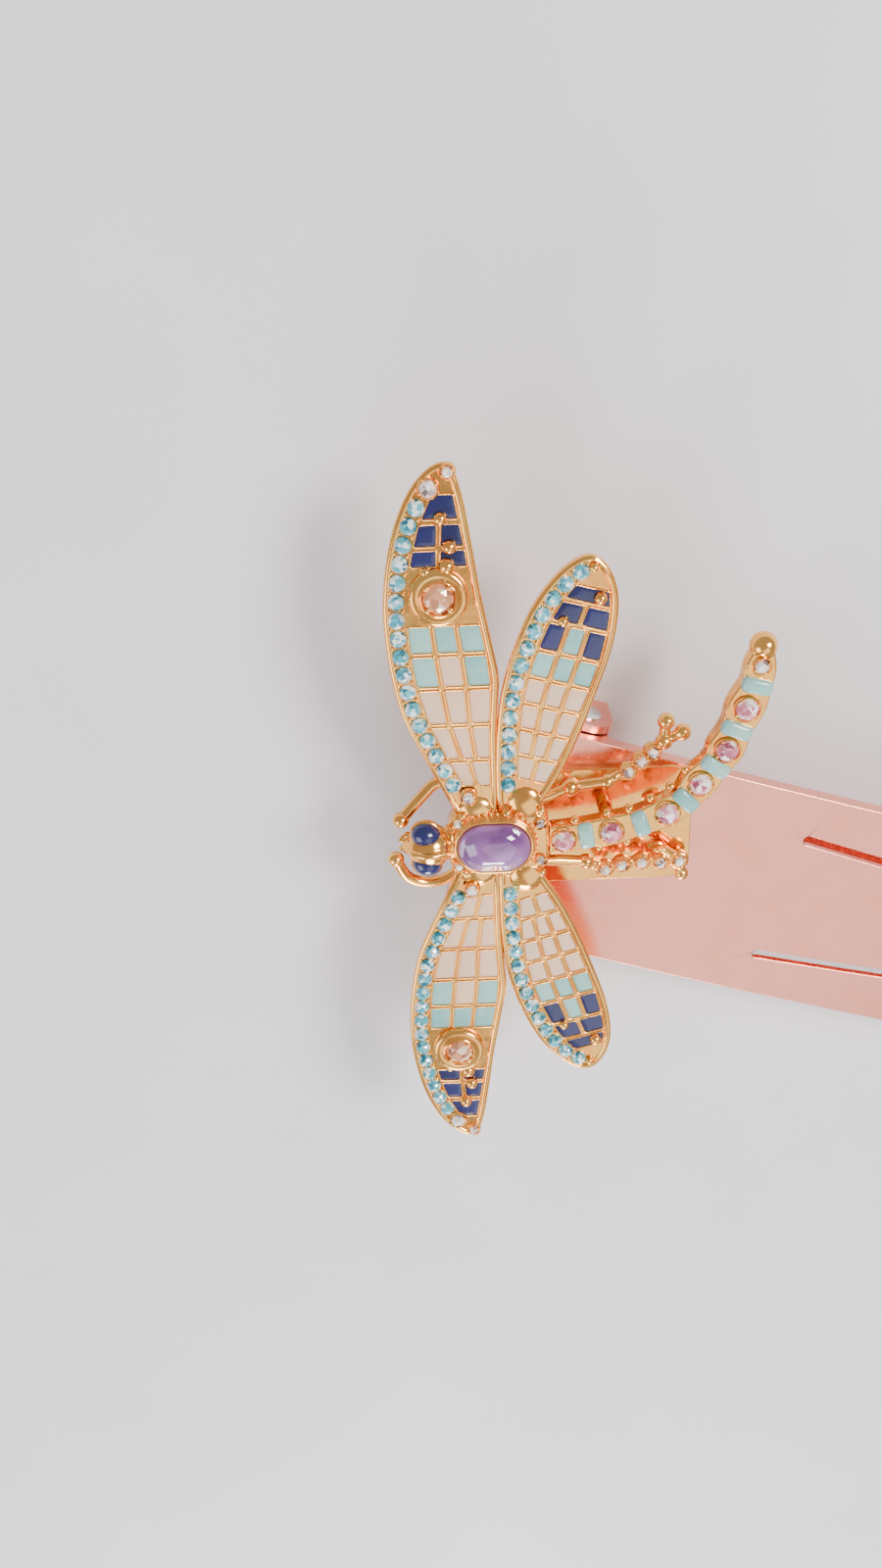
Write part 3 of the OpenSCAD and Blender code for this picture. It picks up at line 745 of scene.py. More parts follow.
@dataclass
class Bench:
    """What every piece needs to be set in place.

    Args:
        nodes: the CAD nodes' objects by name.
        finishes: the materials by slot.
        ornament: the dragonfly's directions.
        ring_profile: the ring round a small stone: distance outside the stone and height, in millimetres.
        prong_r: radius of a small stone's prongs.
        prong_rise: height of their middles.
        flat_angle: least bend, in degrees, that counts as an edge of a CAD shape.
        edge_angle: least bend, in degrees, that is rounded off.
    """

    nodes: dict[str, Object]
    finishes: dict[str, Material]
    ornament: Ornament
    ring_profile: Sequence[tuple[float, float]] = (
        (0, 0.24), (0.08, 0.32), (0.2, 0.2), (0.26, -0.3), (0, -0.3),
    )
    prong_r: float = 0.17 * MM
    prong_rise: float = 0.34 * MM
    flat_angle: float = 0.05
    edge_angle: float = 32

    def place(
        self,
        bm: BMesh,
        name: str,
        slot: str,
        body: Body | None = Body.UPPER,
        replaces: Iterable[str] = (),
        smooth: float = 40.0,
    ) -> Object:
        """Turns a mesh into a finished piece.

        Args:
            bm: the piece's mesh, which is freed.
            name: the piece's name.
            slot: the finish's slot.
            body: the body it rides on, or None for a piece attached to neither.
            replaces: the CAD nodes that it stands for.
            smooth: greatest angle that is shaded smooth, in degrees.

        Returns:
            The piece's object.
        """
        bmesh.ops.recalc_face_normals(bm, faces=bm.faces)
        mesh = bpy.data.meshes.new(name)
        bm.to_mesh(mesh)
        bm.free()
        mesh.polygons.foreach_set("use_smooth", [smooth > 0] * len(mesh.polygons))
        if 0 < smooth < 180:
            mesh.set_sharp_from_angle(angle=math.radians(smooth))
        mesh.materials.append(self.finishes[slot])
        piece = in_scene(name, mesh)
        if body:
            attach(piece, body.value)
        if replaces:
            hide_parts(*replaces)
        LOG.info("%s: %d faces, %s", name, len(mesh.polygons), slot)
        return piece

    def set_stones(
        self, places: Iterable[Vector], radius: float, name: str, slot: str, replaces: Iterable[str] = ()
    ) -> None:
        """Sets round stones, each in a thin ring with four prongs.

        Args:
            places: the foot of each stone.
            radius: their radius.
            name: what their name starts with.
            slot: their finish's slot.
            replaces: the CAD nodes that they stand for.
        """
        stones, rings = bmesh.new(), bmesh.new()
        profile = [(radius + out * MM, up * MM) for out, up in self.ring_profile]
        for at in places:
            add_cut_stone(stones, at, radius, radius * 0.8 + 0.1 * MM)
            add_lathe(rings, at, profile, 22)
            add_prongs(rings, at, radius, self.prong_rise, self.prong_r, Matrix.Identity(3))
        self.place(stones, f"{name}_cut_stones", slot, replaces=replaces, smooth=0)
        self.place(rings, f"{name}_settings", "gold_plate", smooth=60)

    def set_grains(self, grains: Iterable[tuple[Vector, float]], name: str, flat: float = 1.0) -> None:
        """Sets gold grains as one piece.

        Args:
            grains: the middle and the radius of each.
            name: the piece's name.
            flat: their height against their width.
        """
        bm = bmesh.new()
        for at, radius in grains:
            add_ball(bm, at, radius, (1, 1, flat))
        self.place(bm, name, "gold_plate", smooth=180)

    def seats(self, node: str, lift: float = 0.0) -> list[Vector]:
        """Finds where a CAD node's stones stand.

        Args:
            node: the CAD node.
            lift: how far above their feet the places are, in metres.

        Returns:
            One place for each stone.
        """
        places = []
        for stone in solids(self.nodes[node]):
            at = middle(stone)
            at.z = limits(stone)[0].z + lift
            places.append(at)
        return places

    def dress(self, slot: str, *names: str) -> None:
        """Gives CAD nodes that stay their finish.

        Args:
            slot: the finish's slot.
            *names: the CAD nodes.
        """
        for name in names:
            slots = self.nodes[name].data.materials
            slots.clear()
            slots.append(self.finishes[slot])
            LOG.info("%s keeps its shape, %s", name, slot)

    def soften(self, node: str, name: str, slot: str, width: float) -> None:
        """Replaces a CAD node by its own shape with rounded edges.

        Args:
            node: the CAD node.
            name: the piece's name.
            slot: the finish's slot.
            width: the rounding in metres.
        """
        bm = merged(self.nodes[node])
        flat, bend = math.radians(self.flat_angle), math.radians(self.edge_angle)
        bmesh.ops.dissolve_limit(bm, angle_limit=flat, verts=bm.verts, edges=bm.edges)
        edges = [e for e in bm.edges if len(e.link_faces) == 2 and e.calc_face_angle(0) > bend]
        bmesh.ops.bevel(
            bm, geom=edges, offset=width, offset_type="OFFSET", segments=2, profile=0.5, affect="EDGES",
            material=-1,
        )
        bmesh.ops.dissolve_degenerate(bm, edges=bm.edges, dist=SAME_PLACE)
        piece = self.place(bm, name, slot, replaces=[node])
        even = piece.modifiers.new("flat faces stay flat", "WEIGHTED_NORMAL")
        even.weight, even.keep_sharp = 80, True

    def cast(
        self, node: str, name: str, voxel: float, passes: int, grow: float = 0.0, extra: BMesh | None = None
    ) -> None:
        """Replaces a CAD node made of balls and rods by one flowing casting.

        Args:
            node: the CAD node.
            name: the piece's name.
            voxel: size of the casting's detail in metres.
            passes: how many times its surface is relaxed.
            grow: how far its surface is then moved out, in metres.
            extra: more metal that runs into it, which is freed.
        """
        bm = merged(self.nodes[node])
        if extra:
            add_mesh(bm, extra)
        bmesh.ops.recalc_face_normals(bm, faces=bm.faces)
        rough = bpy.data.meshes.new("rough")
        bm.to_mesh(rough)
        holder = in_scene("rough", rough)
        blend = holder.modifiers.new("flow", "REMESH")
        blend.mode, blend.voxel_size = "VOXEL", voxel
        shaped = holder.evaluated_get(bpy.context.evaluated_depsgraph_get())
        bm.clear()
        bm.from_mesh(shaped.to_mesh())
        bpy.data.objects.remove(holder)
        bpy.data.meshes.remove(rough)
        for _ in range(passes):
            bmesh.ops.smooth_vert(
                bm, verts=bm.verts, factor=0.5, use_axis_x=True, use_axis_y=True, use_axis_z=True
            )
        bm.normal_update()
        for vert in bm.verts:
            vert.co += vert.normal * grow
        self.place(bm, name, "gold_plate", replaces=[node], smooth=180)


# ---------------------------------------------------------------- the clip


@dataclass
class Clip:
    """The two jaws, their pin and their spring, and what holds the dragonfly on.

    Args:
        bench: the bench.
        jaw_round: rounding of the jaw's edges.
        plate_round: rounding of the plate's and the posts' edges.
        wire: radius of the spring's wire.
        coil_turns: the spring's turns.
        rings_per_turn: steps in each turn.
        peen_r: radius of the rivets' hammered ends.
        peen_profile: their shape: share of that radius, and height in millimetres.
        head_profile: the pin's heads: share of their radius, and depth below their end in millimetres.
        shank_r: radius of the pin between its heads.
        shank_end: how far inside a head's end the shank stops.
        blend_share: share of the coil's radius that gives a reach, which nothing then uses.
    """

    bench: Bench
    jaw_round: float = 0.14 * MM
    plate_round: float = 0.12 * MM
    wire: float = 0.4 * MM
    coil_turns: float = 4.5
    rings_per_turn: int = 24
    peen_r: float = 1.15 * MM
    peen_profile: Sequence[tuple[float, float]] = (
        (0, 0.24), (0.5, 0.21), (0.9, 0.12), (1.0, 0.04), (1.0, -0.02), (0, -0.02),
    )
    head_profile: Sequence[tuple[float, float]] = (
        (0, 0), (0.5, 0.08), (0.86, 0.25), (1, 0.45), (1, 0.6), (0, 0.6),
    )
    shank_r: float = 0.95 * MM
    shank_end: float = 0.3 * MM
    blend_share: float = 0.9

    def build(self) -> None:
        """Builds every piece of the clip."""
        self.bench.soften("upper_jaw", "bowed_jaw", "rose_plate", self.jaw_round)
        self.bench.dress("rose_plate", "lower_jaw")
        self.bench.soften("mount_plate", "backing_plate", "gold_plate", self.plate_round)
        self.bench.soften("body_posts", "standing_posts", "gold_plate", self.plate_round)
        self.bench.dress("gold_plate", "plate_rivets")
        self.build_peened_ends()
        self.build_pin()
        self.build_spring()

    def build_peened_ends(self) -> None:
        """The rivets' ends, hammered into low domes on the plate."""
        _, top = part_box("mount_plate")
        bm = bmesh.new()
        profile = [(share * self.peen_r, z * MM) for share, z in self.peen_profile]
        for rivet in solids(self.bench.nodes["plate_rivets"]):
            at = middle(rivet)
            add_lathe(bm, Vector((at.x, at.y, top.z)), profile, 24)
        self.bench.place(bm, "peened_ends", "gold_plate")

    def build_pin(self) -> None:
        """The pin's shank, with a domed head at each end."""
        low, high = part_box("hinge_pin")
        head, reach = (high.x - low.x) / 2, high.y
        profile = [(share * head, reach - depth * MM) for share, depth in self.head_profile]
        bm = bmesh.new()
        for side in (1, -1):
            cap = bmesh.new()
            add_lathe(cap, Vector(), profile, 32)
            cap.transform(Matrix.Rotation(-side * math.pi / 2, 4, "X"))
            add_mesh(bm, cap)
        ends = [Vector((0, y, 0)) for y in (self.shank_end - reach, reach - self.shank_end)]
        add_tube(bm, ends, self.shank_r, 32)
        centre = middle((low, high))
        bmesh.ops.translate(bm, verts=bm.verts, vec=(centre.x, 0, centre.z))
        self.bench.place(bm, "hinge_rivet", "spring_steel", Body.LOWER, ["hinge_pin"])

    def build_spring(self) -> None:
        """The spring, as one round wire coiled between the jaws."""
        low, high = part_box("torsion_spring")
        axis = middle(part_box("hinge_pin")).z
        coil = high.x - self.wire
        near, far = low.y + self.wire, high.y - self.wire
        tail_x = low.x + self.wire * 0.3
        count = int(self.coil_turns * self.rings_per_turn)
        points = [Vector((tail_x, near, high.z - self.wire))]
        for k in range(count + 1):
            angle = 2 * math.pi * k / self.rings_per_turn
            y = near + (far - near) * k / count
            points.append(Vector((coil * math.sin(angle), y, axis + coil * math.cos(angle))))
        points.append(Vector((tail_x, far, low.z + self.wire)))
        points.insert(1, points[0].lerp(points[1], 0.5))
        points.insert(-1, points[-1].lerp(points[-2], 0.5))
        bm = bmesh.new()
        add_tube(bm, points, self.wire, 14)
        wire = self.bench.place(bm, "spring_wire", "spring_steel", None, ["torsion_spring"], 60)
        reach = coil * self.blend_share
        start, end = (0, 0, axis - reach), (0, 0, axis + reach)
        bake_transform(wire)
        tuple(start)
        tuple(end)


# ---------------------------------------------------------------- the dragonfly


@dataclass
class Wing:
    """One wing: its casting, enamel, stones and beads.

    Args:
        bench: the bench.
        kind: forewing or hindwing.
        side: the dragonfly's side.
        grains: the gold grains between the navy cells, given for the dragonfly's left, with their radii.
        tip_stones: the white stones at its tip, in the same way.
        roll: radius of the rolled rim.
        roll_in: how far inside the outline the rim runs, as a share of that radius.
        roll_down: how far below the casting's top it runs, in the same way.
        cloison_r: radius of the wire round each cell.
        cell_round: rounding of the cells' corners.
        stone_r: radius of the stones along the leading edge.
        stone_h: their height.
        prong_r: radius of the prongs between them.
        prong_out: how far to each side of the row the prongs stand.
        grain_rise: height of the grains' middles above the casting.
    """

    bench: Bench
    kind: str
    side: Side
    grains: Sequence[Spot] = ()
    tip_stones: Sequence[Spot] = ()
    roll: float = 0.36 * MM
    roll_in: float = 0.55
    roll_down: float = 0.35
    cloison_r: float = 0.11 * MM
    cell_round: float = 0.3 * MM
    stone_r: float = 0.79 * MM
    stone_h: float = 0.62 * MM
    prong_r: float = 0.19 * MM
    prong_out: float = 0.6 * MM
    grain_rise: float = 0.15 * MM

    def node(self, part: str = "") -> str:
        """The name of one of this wing's CAD nodes."""
        return "_".join(word for word in (self.kind, part, self.side.value) if word)

    def build(self) -> None:
        """Builds every piece of the wing."""
        self.bench.dress("gold_plate", self.node())
        self.build_roll()
        for colour in ("navy", "aqua", "cream"):
            self.build_enamel(colour)
        self.build_stones()
        self.build_grains()

    def build_roll(self) -> None:
        """The rounded rim that runs round the casting."""
        bm = merged(self.bench.nodes[self.node()])
        bmesh.ops.dissolve_limit(bm, angle_limit=math.radians(0.5), verts=bm.verts, edges=bm.edges)
        low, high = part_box(self.node())
        lowest = [f for f in bm.faces if abs(f.calc_center_median().z - low.z) < 0.01 * MM]
        under = max(lowest, key=BMFace.calc_area)
        outline = [v.co.copy() for v in under.verts]
        centre = middle(outline)
        bm.free()
        path = []
        for i, at in enumerate(outline):
            along = (outline[(i + 1) % len(outline)] - outline[i - 1]).normalized()
            inward = along.cross(UP)
            inward *= 1 if inward.dot(centre - at) > 0 else -1
            if (at - outline[i - 1]).length > 0.15 * MM:
                path.append(at + inward * self.roll * self.roll_in)
        for at in path:
            at.z = high.z - self.roll * self.roll_down
        rim = bmesh.new()
        add_tube(rim, path, self.roll, 10, closed=True)
        self.bench.place(rim, f"{self.node()}_rim", "gold_plate", smooth=80)

    def build_enamel(self, colour: str) -> None:
        """Fills one colour's cells, each with its own shade, inside a rounded gold wire.

        Args:
            colour: navy, aqua or cream.
        """
        source = self.node(colour)
        shades = random.Random(source)
        bm, wires = bmesh.new(), bmesh.new()
        _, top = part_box(self.node())
        for cell in solids(self.bench.nodes[source]):
            outline = soft_corners(upper_rim(cell), self.cell_round)
            add_enamel(bm, outline, 0.35 * MM, 0.14 * MM, 3.0, shades.random())
            add_tube(wires, [Vector((p.x, p.y, top.z)) for p in outline], self.cloison_r, 6, closed=True)
        self.bench.place(bm, f"{source}_enamel", f"{colour}_enamel", replaces=[source], smooth=60)
        self.bench.place(wires, f"{source}_cloisons", "gold_plate", smooth=180)

    def build_stones(self) -> None:
        """Sets the stones along the leading edge, with two prongs in each gap."""
        source = self.node("stones")
        places = self.in_order([middle(s) for s in solids(self.bench.nodes[source])])
        _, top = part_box(self.node())
        turns = random.Random(source)
        stones, prongs = bmesh.new(), []
        for at in places:
            at.z = top.z - 0.02 * MM
            add_cut_stone(stones, at, self.stone_r, self.stone_h, turn=turns.random())
        for one, two in zip(places, places[1:]):
            across = (two - one).normalized().cross(UP) * self.prong_out
            prongs += [((one + two) / 2 + across * step + UP * 0.12 * MM, self.prong_r) for step in (-1, 1)]
        self.bench.place(stones, f"{self.node()}_cut_stones", "aqua_stone", replaces=[source], smooth=0)
        self.bench.set_grains(prongs, f"{self.node()}_prongs")

    def build_grains(self) -> None:
        """The gold grains between the navy cells, and the white stones at the tip."""
        grains = [(self.on_top(x, y, self.grain_rise), radius * MM) for x, y, radius in self.grains]
        self.bench.set_grains(grains, f"{self.node()}_grains", 0.9)
        for number, (x, y, radius) in enumerate(self.tip_stones, 1):
            name = f"{self.node()}_tip_{number}"
            self.bench.set_stones([self.on_top(x, y)], radius * MM, name, "clear_stone")

    def on_top(self, x: float, y: float, lift: float = 0.0) -> Vector:
        """Finds a place on the wing's face.

        Args:
            x: towards the tail, in millimetres.
            y: out from the body, in millimetres.
            lift: above the casting, in metres.

        Returns:
            The place.
        """
        at = self.bench.ornament.at(x, y if self.side is Side.LEFT else -y, 0)
        at.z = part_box(self.node())[1].z + lift
        return at

    @staticmethod
    def in_order(places: Sequence[Vector]) -> list[Vector]:
        """Puts places one after another.

        Args:
            places: the places.

        Returns:
            The same places, from the one nearest the body outwards.
        """
        left = list(places)
        body = middle(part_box("cabochon"))
        order = [min(left, key=lambda p: (p - body).length)]
        left.remove(order[0])
        while left:
            order.append(min(left, key=lambda p: (p - order[-1]).length))
            left.remove(order[-1])
        return order


@dataclass
class TipSetting:
    """The round setting near a forewing's tip, and its stone.

    Args:
        bench: the bench.
        side: the dragonfly's side.
        ring_profile: the ring's distance from its axis and its height, in millimetres.
        stone_r: the stone's radius.
        stone_h: its height.
        stone_lift: height of its foot above the ring's.
        prong_r: radius of the prongs.
        prong_out: how far from the axis they stand.
        prong_rise: height of their middles.
    """

    bench: Bench
    side: Side
    ring_profile: Sequence[tuple[float, float]] = (
        (2.7, 0), (2.68, 0.3), (2.55, 0.52), (2.3, 0.64), (2.0, 0.62), (1.85, 0.6), (1.75, 0.78), (1.6, 0.84),
        (1.47, 0.72), (1.45, 0), (1.45, -0.05), (2.7, -0.05),
    )
    stone_r: float = 1.46 * MM
    stone_h: float = 0.85 * MM
    stone_lift: float = 0.3 * MM
    prong_r: float = 0.3 * MM
    prong_out: float = 1.42 * MM
    prong_rise: float = 0.78 * MM

    def build(self) -> None:
        """Builds the ring, its prongs and its stone."""
        ring, gem = f"tip_bezel_{self.side.value}", f"tip_stone_{self.side.value}"
        low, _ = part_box(ring)
        at = middle(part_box(ring))
        at.z = low.z
        bm = bmesh.new()
        add_lathe(bm, at, [(r * MM, z * MM) for r, z in self.ring_profile])
        add_prongs(bm, at, self.prong_out, self.prong_rise, self.prong_r, self.bench.ornament.turn, 0.8)
        self.bench.place(bm, f"{ring}_collar", "gold_plate", replaces=[ring], smooth=50)
        stone = bmesh.new()
        add_cut_stone(stone, at + UP * self.stone_lift, self.stone_r, self.stone_h)
        self.bench.place(stone, f"{gem}_cut", "champagne_stone", replaces=[gem], smooth=0)


@dataclass
class Trunk:
    """The thorax with its cabochon, and the head.

    Args:
        bench: the bench.
        side_round: rounding of the thorax's upright edges.
        top_round: rounding of its other edges.
        shoulders: the swellings where the wings join: place, length and width on the left, in millimetres.
        shoulder_h: half a swelling's height, in millimetres.
        shoulder_z: height of its middle.
        beads: the gold beads on the thorax's left, with their radii.
        bead_z: height of their middles, in millimetres.
        collar_wires: the collar's wires: how far outside the stone, how high, and how thick, in millimetres.
        collar_grains: grains round the collar.
        corner_stone_r: radius of the stones at the thorax's corners.
        root_stones: the stones on the forewings' roots, on the left, with their height.
        root_stone_r: their radius.
        brow: the ridge over the head.
        jaw: the left jaw.
        brow_r: the ridge's and the jaws' radius.
        jaw_end_r: the jaws' radius at their ends.
        eye_rim_r: radius of the rims round the eyes.
        eye_shade: the eyes' shade of enamel, from 0 to 1.
        neck_rings: how far towards the tail each ring is, and its radius, in millimetres.
        neck_wire_r: radius of the rings' wire.
    """

    bench: Bench
    side_round: float = 1.6 * MM
    top_round: float = 0.55 * MM
    shoulders: Sequence[tuple[float, float, float, float]] = ((-1.6, 3.5, 1.75, 1.5), (3.1, 3.9, 1.75, 1.9))
    shoulder_h: float = 0.75
    shoulder_z: float = 0.4
    beads: Sequence[Spot] = ((-2.9, 3.1, 0.42), (1.3, 3.25, 0.5), (4.6, 3.4, 0.42))
    bead_z: float = 1.05
    collar_wires: Sequence[tuple[float, float, float]] = (
        (0.3, 0.8, 0.17), (0.38, 0.55, 0.17), (0.46, 0.28, 0.2), (0.5, 0.06, 0.22),
    )
    collar_grains: int = 40
    corner_stone_r: float = 0.5 * MM
    root_stones: Sequence[Spot] = ((-2.3, 5.1, 1.1),)
    root_stone_r: float = 0.62 * MM
    brow: Sequence[Spot] = ((-4.6, 0, 2.6), (-6.2, 0, 3.25), (-7.6, 0, 2.6), (-8.5, 0, 1.2))
    jaw: Sequence[Spot] = ((-7.6, 0.9, 0.2), (-8.6, 0.85, 0.3), (-9.1, 0.25, 0.4))
    brow_r: float = 0.34 * MM
    jaw_end_r: float = 0.24 * MM
    eye_rim_r: float = 0.3 * MM
    eye_shade: float = 0.7
    neck_rings: Sequence[tuple[float, float]] = ((-4.45, 1.55), (-4.05, 1.75))
    neck_wire_r: float = 0.26 * MM

    def build(self) -> None:
        """Builds every piece of the trunk."""
        self.build_thorax()
        self.build_cabochon()
        self.build_accents()
        self.build_head()
        self.build_eyes()
        self.build_neck()

    def build_thorax(self) -> None:
        """The rounded block in the middle, with a swelling where each wing joins it."""
        low, high = self.local_box("thorax")
        bm = bmesh.new()
        size, centre = high - low, (low + high) / 2
        place = Matrix.Translation(centre) @ Matrix.Diagonal((*size, 1))
        bmesh.ops.create_cube(bm, size=1, matrix=place)
        upright = [e for e in bm.edges if abs((e.verts[0].co - e.verts[1].co).z) > size.z / 2]
        self.round(bm, upright, self.side_round, 8)
        level = [e for e in bm.edges if abs(e.verts[0].co.z - e.verts[1].co.z) < SAME_PLACE]
        self.round(bm, [e for e in level if e.calc_face_angle(0) > 1], self.top_round, 4)
        self.bench.ornament.turned(bm)
        at = self.bench.ornament.at
        for x, y, long, wide in self.shoulders:
            for side in (1, -1):
                lobe = bmesh.new()
                add_ball(lobe, Vector(), 1.0 * MM, (long, wide, self.shoulder_h), fine=True)
                place = Matrix.Translation(at(x, y * side, self.shoulder_z))
                lobe.transform(place @ self.bench.ornament.turn.to_4x4())
                add_mesh(bm, lobe)
        self.bench.place(bm, "thorax_casting", "gold_plate", replaces=["thorax"], smooth=50)
        pairs = [(x, y * side, radius) for x, y, radius in self.beads for side in (1, -1)]
        self.bench.set_grains([(at(x, y, self.bead_z), radius * MM) for x, y, radius in pairs], "thorax_beads")

    def local_box(self, node: str) -> tuple[Vector, Vector]:
        """Measures a node along the dragonfly's own directions.

        Args:
            node: the CAD node.

        Returns:
            The least and greatest corner, from the dragonfly's origin.
        """
        back, origin = self.bench.ornament.turn.transposed(), self.bench.ornament.origin
        return limits(back @ (v.co - origin) for v in self.bench.nodes[node].data.vertices)

    @staticmethod
    def round(bm: BMesh, edges: Sequence[BMEdge], radius: float, segments: int) -> None:
        """Rounds edges.

        Args:
            bm: the mesh.
            edges: its edges to round.
            radius: the rounding.
            segments: steps across it.
        """
        bmesh.ops.bevel(
            bm, geom=edges, offset=radius, offset_type="OFFSET", segments=segments, profile=0.5,
            affect="EDGES", material=-1, clamp_overlap=True,
        )

    def oval(self, grow: float, height: float, count: int) -> list[Vector]:
        """Points round the cabochon's outline.

        Args:
            grow: how far outside the cabochon they are.
            height: how high above the wings' middle plane.
            count: how many.

        Returns:
            The points in order.
        """
        low, high = self.local_box("cabochon")
        radius = (high.y - low.y) / 2 + grow
        straight = (high.x - low.x) - (high.y - low.y)
        around = 2 * straight + 2 * math.pi * radius
        ornament = self.bench.ornament
        points = []
        for k in range(count):
            s = around * k / count
            half, s = divmod(s, around / 2)
            if s < straight:
                x, y = straight / 2 - s, radius
            else:
                angle = math.pi / 2 + (s - straight) / radius
                x, y = -straight / 2 + radius * math.cos(angle), radius * math.sin(angle)
            sign = 1 if half == 0 else -1
            points.append(ornament.origin + ornament.turn @ Vector((sign * x, sign * y, height)))
        return points

    def build_cabochon(self) -> None:
        """The high-domed stone in its collar, with a row of grains round the collar's foot."""
        low, high = self.local_box("cabochon")
        dome = bmesh.new()
        add_dome(dome, self.oval(0.2 * MM, low.z + 0.75 * MM, 72), 0.7 * MM, high.z - low.z - 0.5 * MM, 2.1)
        self.bench.place(dome, "purple_cabochon", "amethyst", replaces=["cabochon"], smooth=180)
        collar = bmesh.new()
        for grow, level, radius in self.collar_wires:
            add_tube(collar, self.oval(grow * MM, low.z + level * MM, 72), radius * MM, 10, closed=True)
        self.bench.place(collar, "cabochon_collar", "gold_plate", replaces=["cabochon_bezel"], smooth=80)
        foot = self.oval(0.8 * MM, low.z + 0.06 * MM, self.collar_grains)
        self.bench.set_grains([(at, 0.21 * MM) for at in foot], "collar_grains")

    def build_accents(self) -> None:
        """The small stones at the thorax's corners and the two beside it on the forewings' roots."""
        _, top = self.local_box("thorax")
        level = self.bench.ornament.origin.z + top.z
        places = [middle(stone) for stone in solids(self.bench.nodes["thorax_stones"])]
        for at in places:
            at.z = level - 0.02 * MM
        self.bench.set_stones(places, self.corner_stone_r, "thorax", "clear_stone", ["thorax_stones"])
        roots = [self.bench.ornament.at(x, y * side, z) for side in (1, -1) for x, y, z in self.root_stones]
        self.bench.set_stones(roots, self.root_stone_r, "wing_root", "clear_stone")

    def build_head(self) -> None:
        """The head's casting, with its brow and jaws."""
        path = self.bench.ornament.path
        brow = bmesh.new()
        add_tube(brow, smooth_path(path(self.brow), 6), self.brow_r, 12)
        for side in (1, -1):
            jaw = smooth_path(path((x, y * side, z) for x, y, z in self.jaw), 5)
            add_tube(brow, jaw, [self.brow_r] * 5 + [self.jaw_end_r] * (len(jaw) - 5), 10)
        self.bench.cast("head", "head_casting", 0.09 * MM, 4, extra=brow)

    def build_eyes(self) -> None:
        """The two enamelled eyes, with a gold rim round each."""
        rims = bmesh.new()
        for side in Side:
            node = f"eye_{side.value}"
            low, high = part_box(node)
            centre, radius = middle((low, high)), (high.x - low.x) / 2
            across, up = Vector((radius * 1.02, 0, 0)), Vector((0, radius * 1.02, 0))
            add_tube(rims, circle(centre - UP * 0.12 * MM, across, up), self.eye_rim_r, 10, closed=True)
            eye = bmesh.new()
            add_ball(eye, centre, radius * 1.04, (1.12, 1, 1), fine=True)
            tint = eye.verts.layers.float.new("tint")
            for vert in eye.verts:
                vert[tint] = self.eye_shade
            self.bench.place(eye, f"{node}_dome", "navy_enamel", replaces=[node], smooth=180)
        self.bench.place(rims, "eye_rims", "gold_plate", smooth=180)

    def build_neck(self) -> None:
        """Two turned rings between the head and the thorax."""
        left = self.bench.ornament.turn @ Vector((0, MM, 0))
        bm = bmesh.new()
        for x, radius in self.neck_rings:
            ring = circle(self.bench.ornament.at(x, 0, 0.25), left * radius, UP * radius * 0.8 * MM)
            add_tube(bm, ring, self.neck_wire_r, 10, closed=True)
        self.bench.place(bm, "neck_rings", "gold_plate", smooth=180)


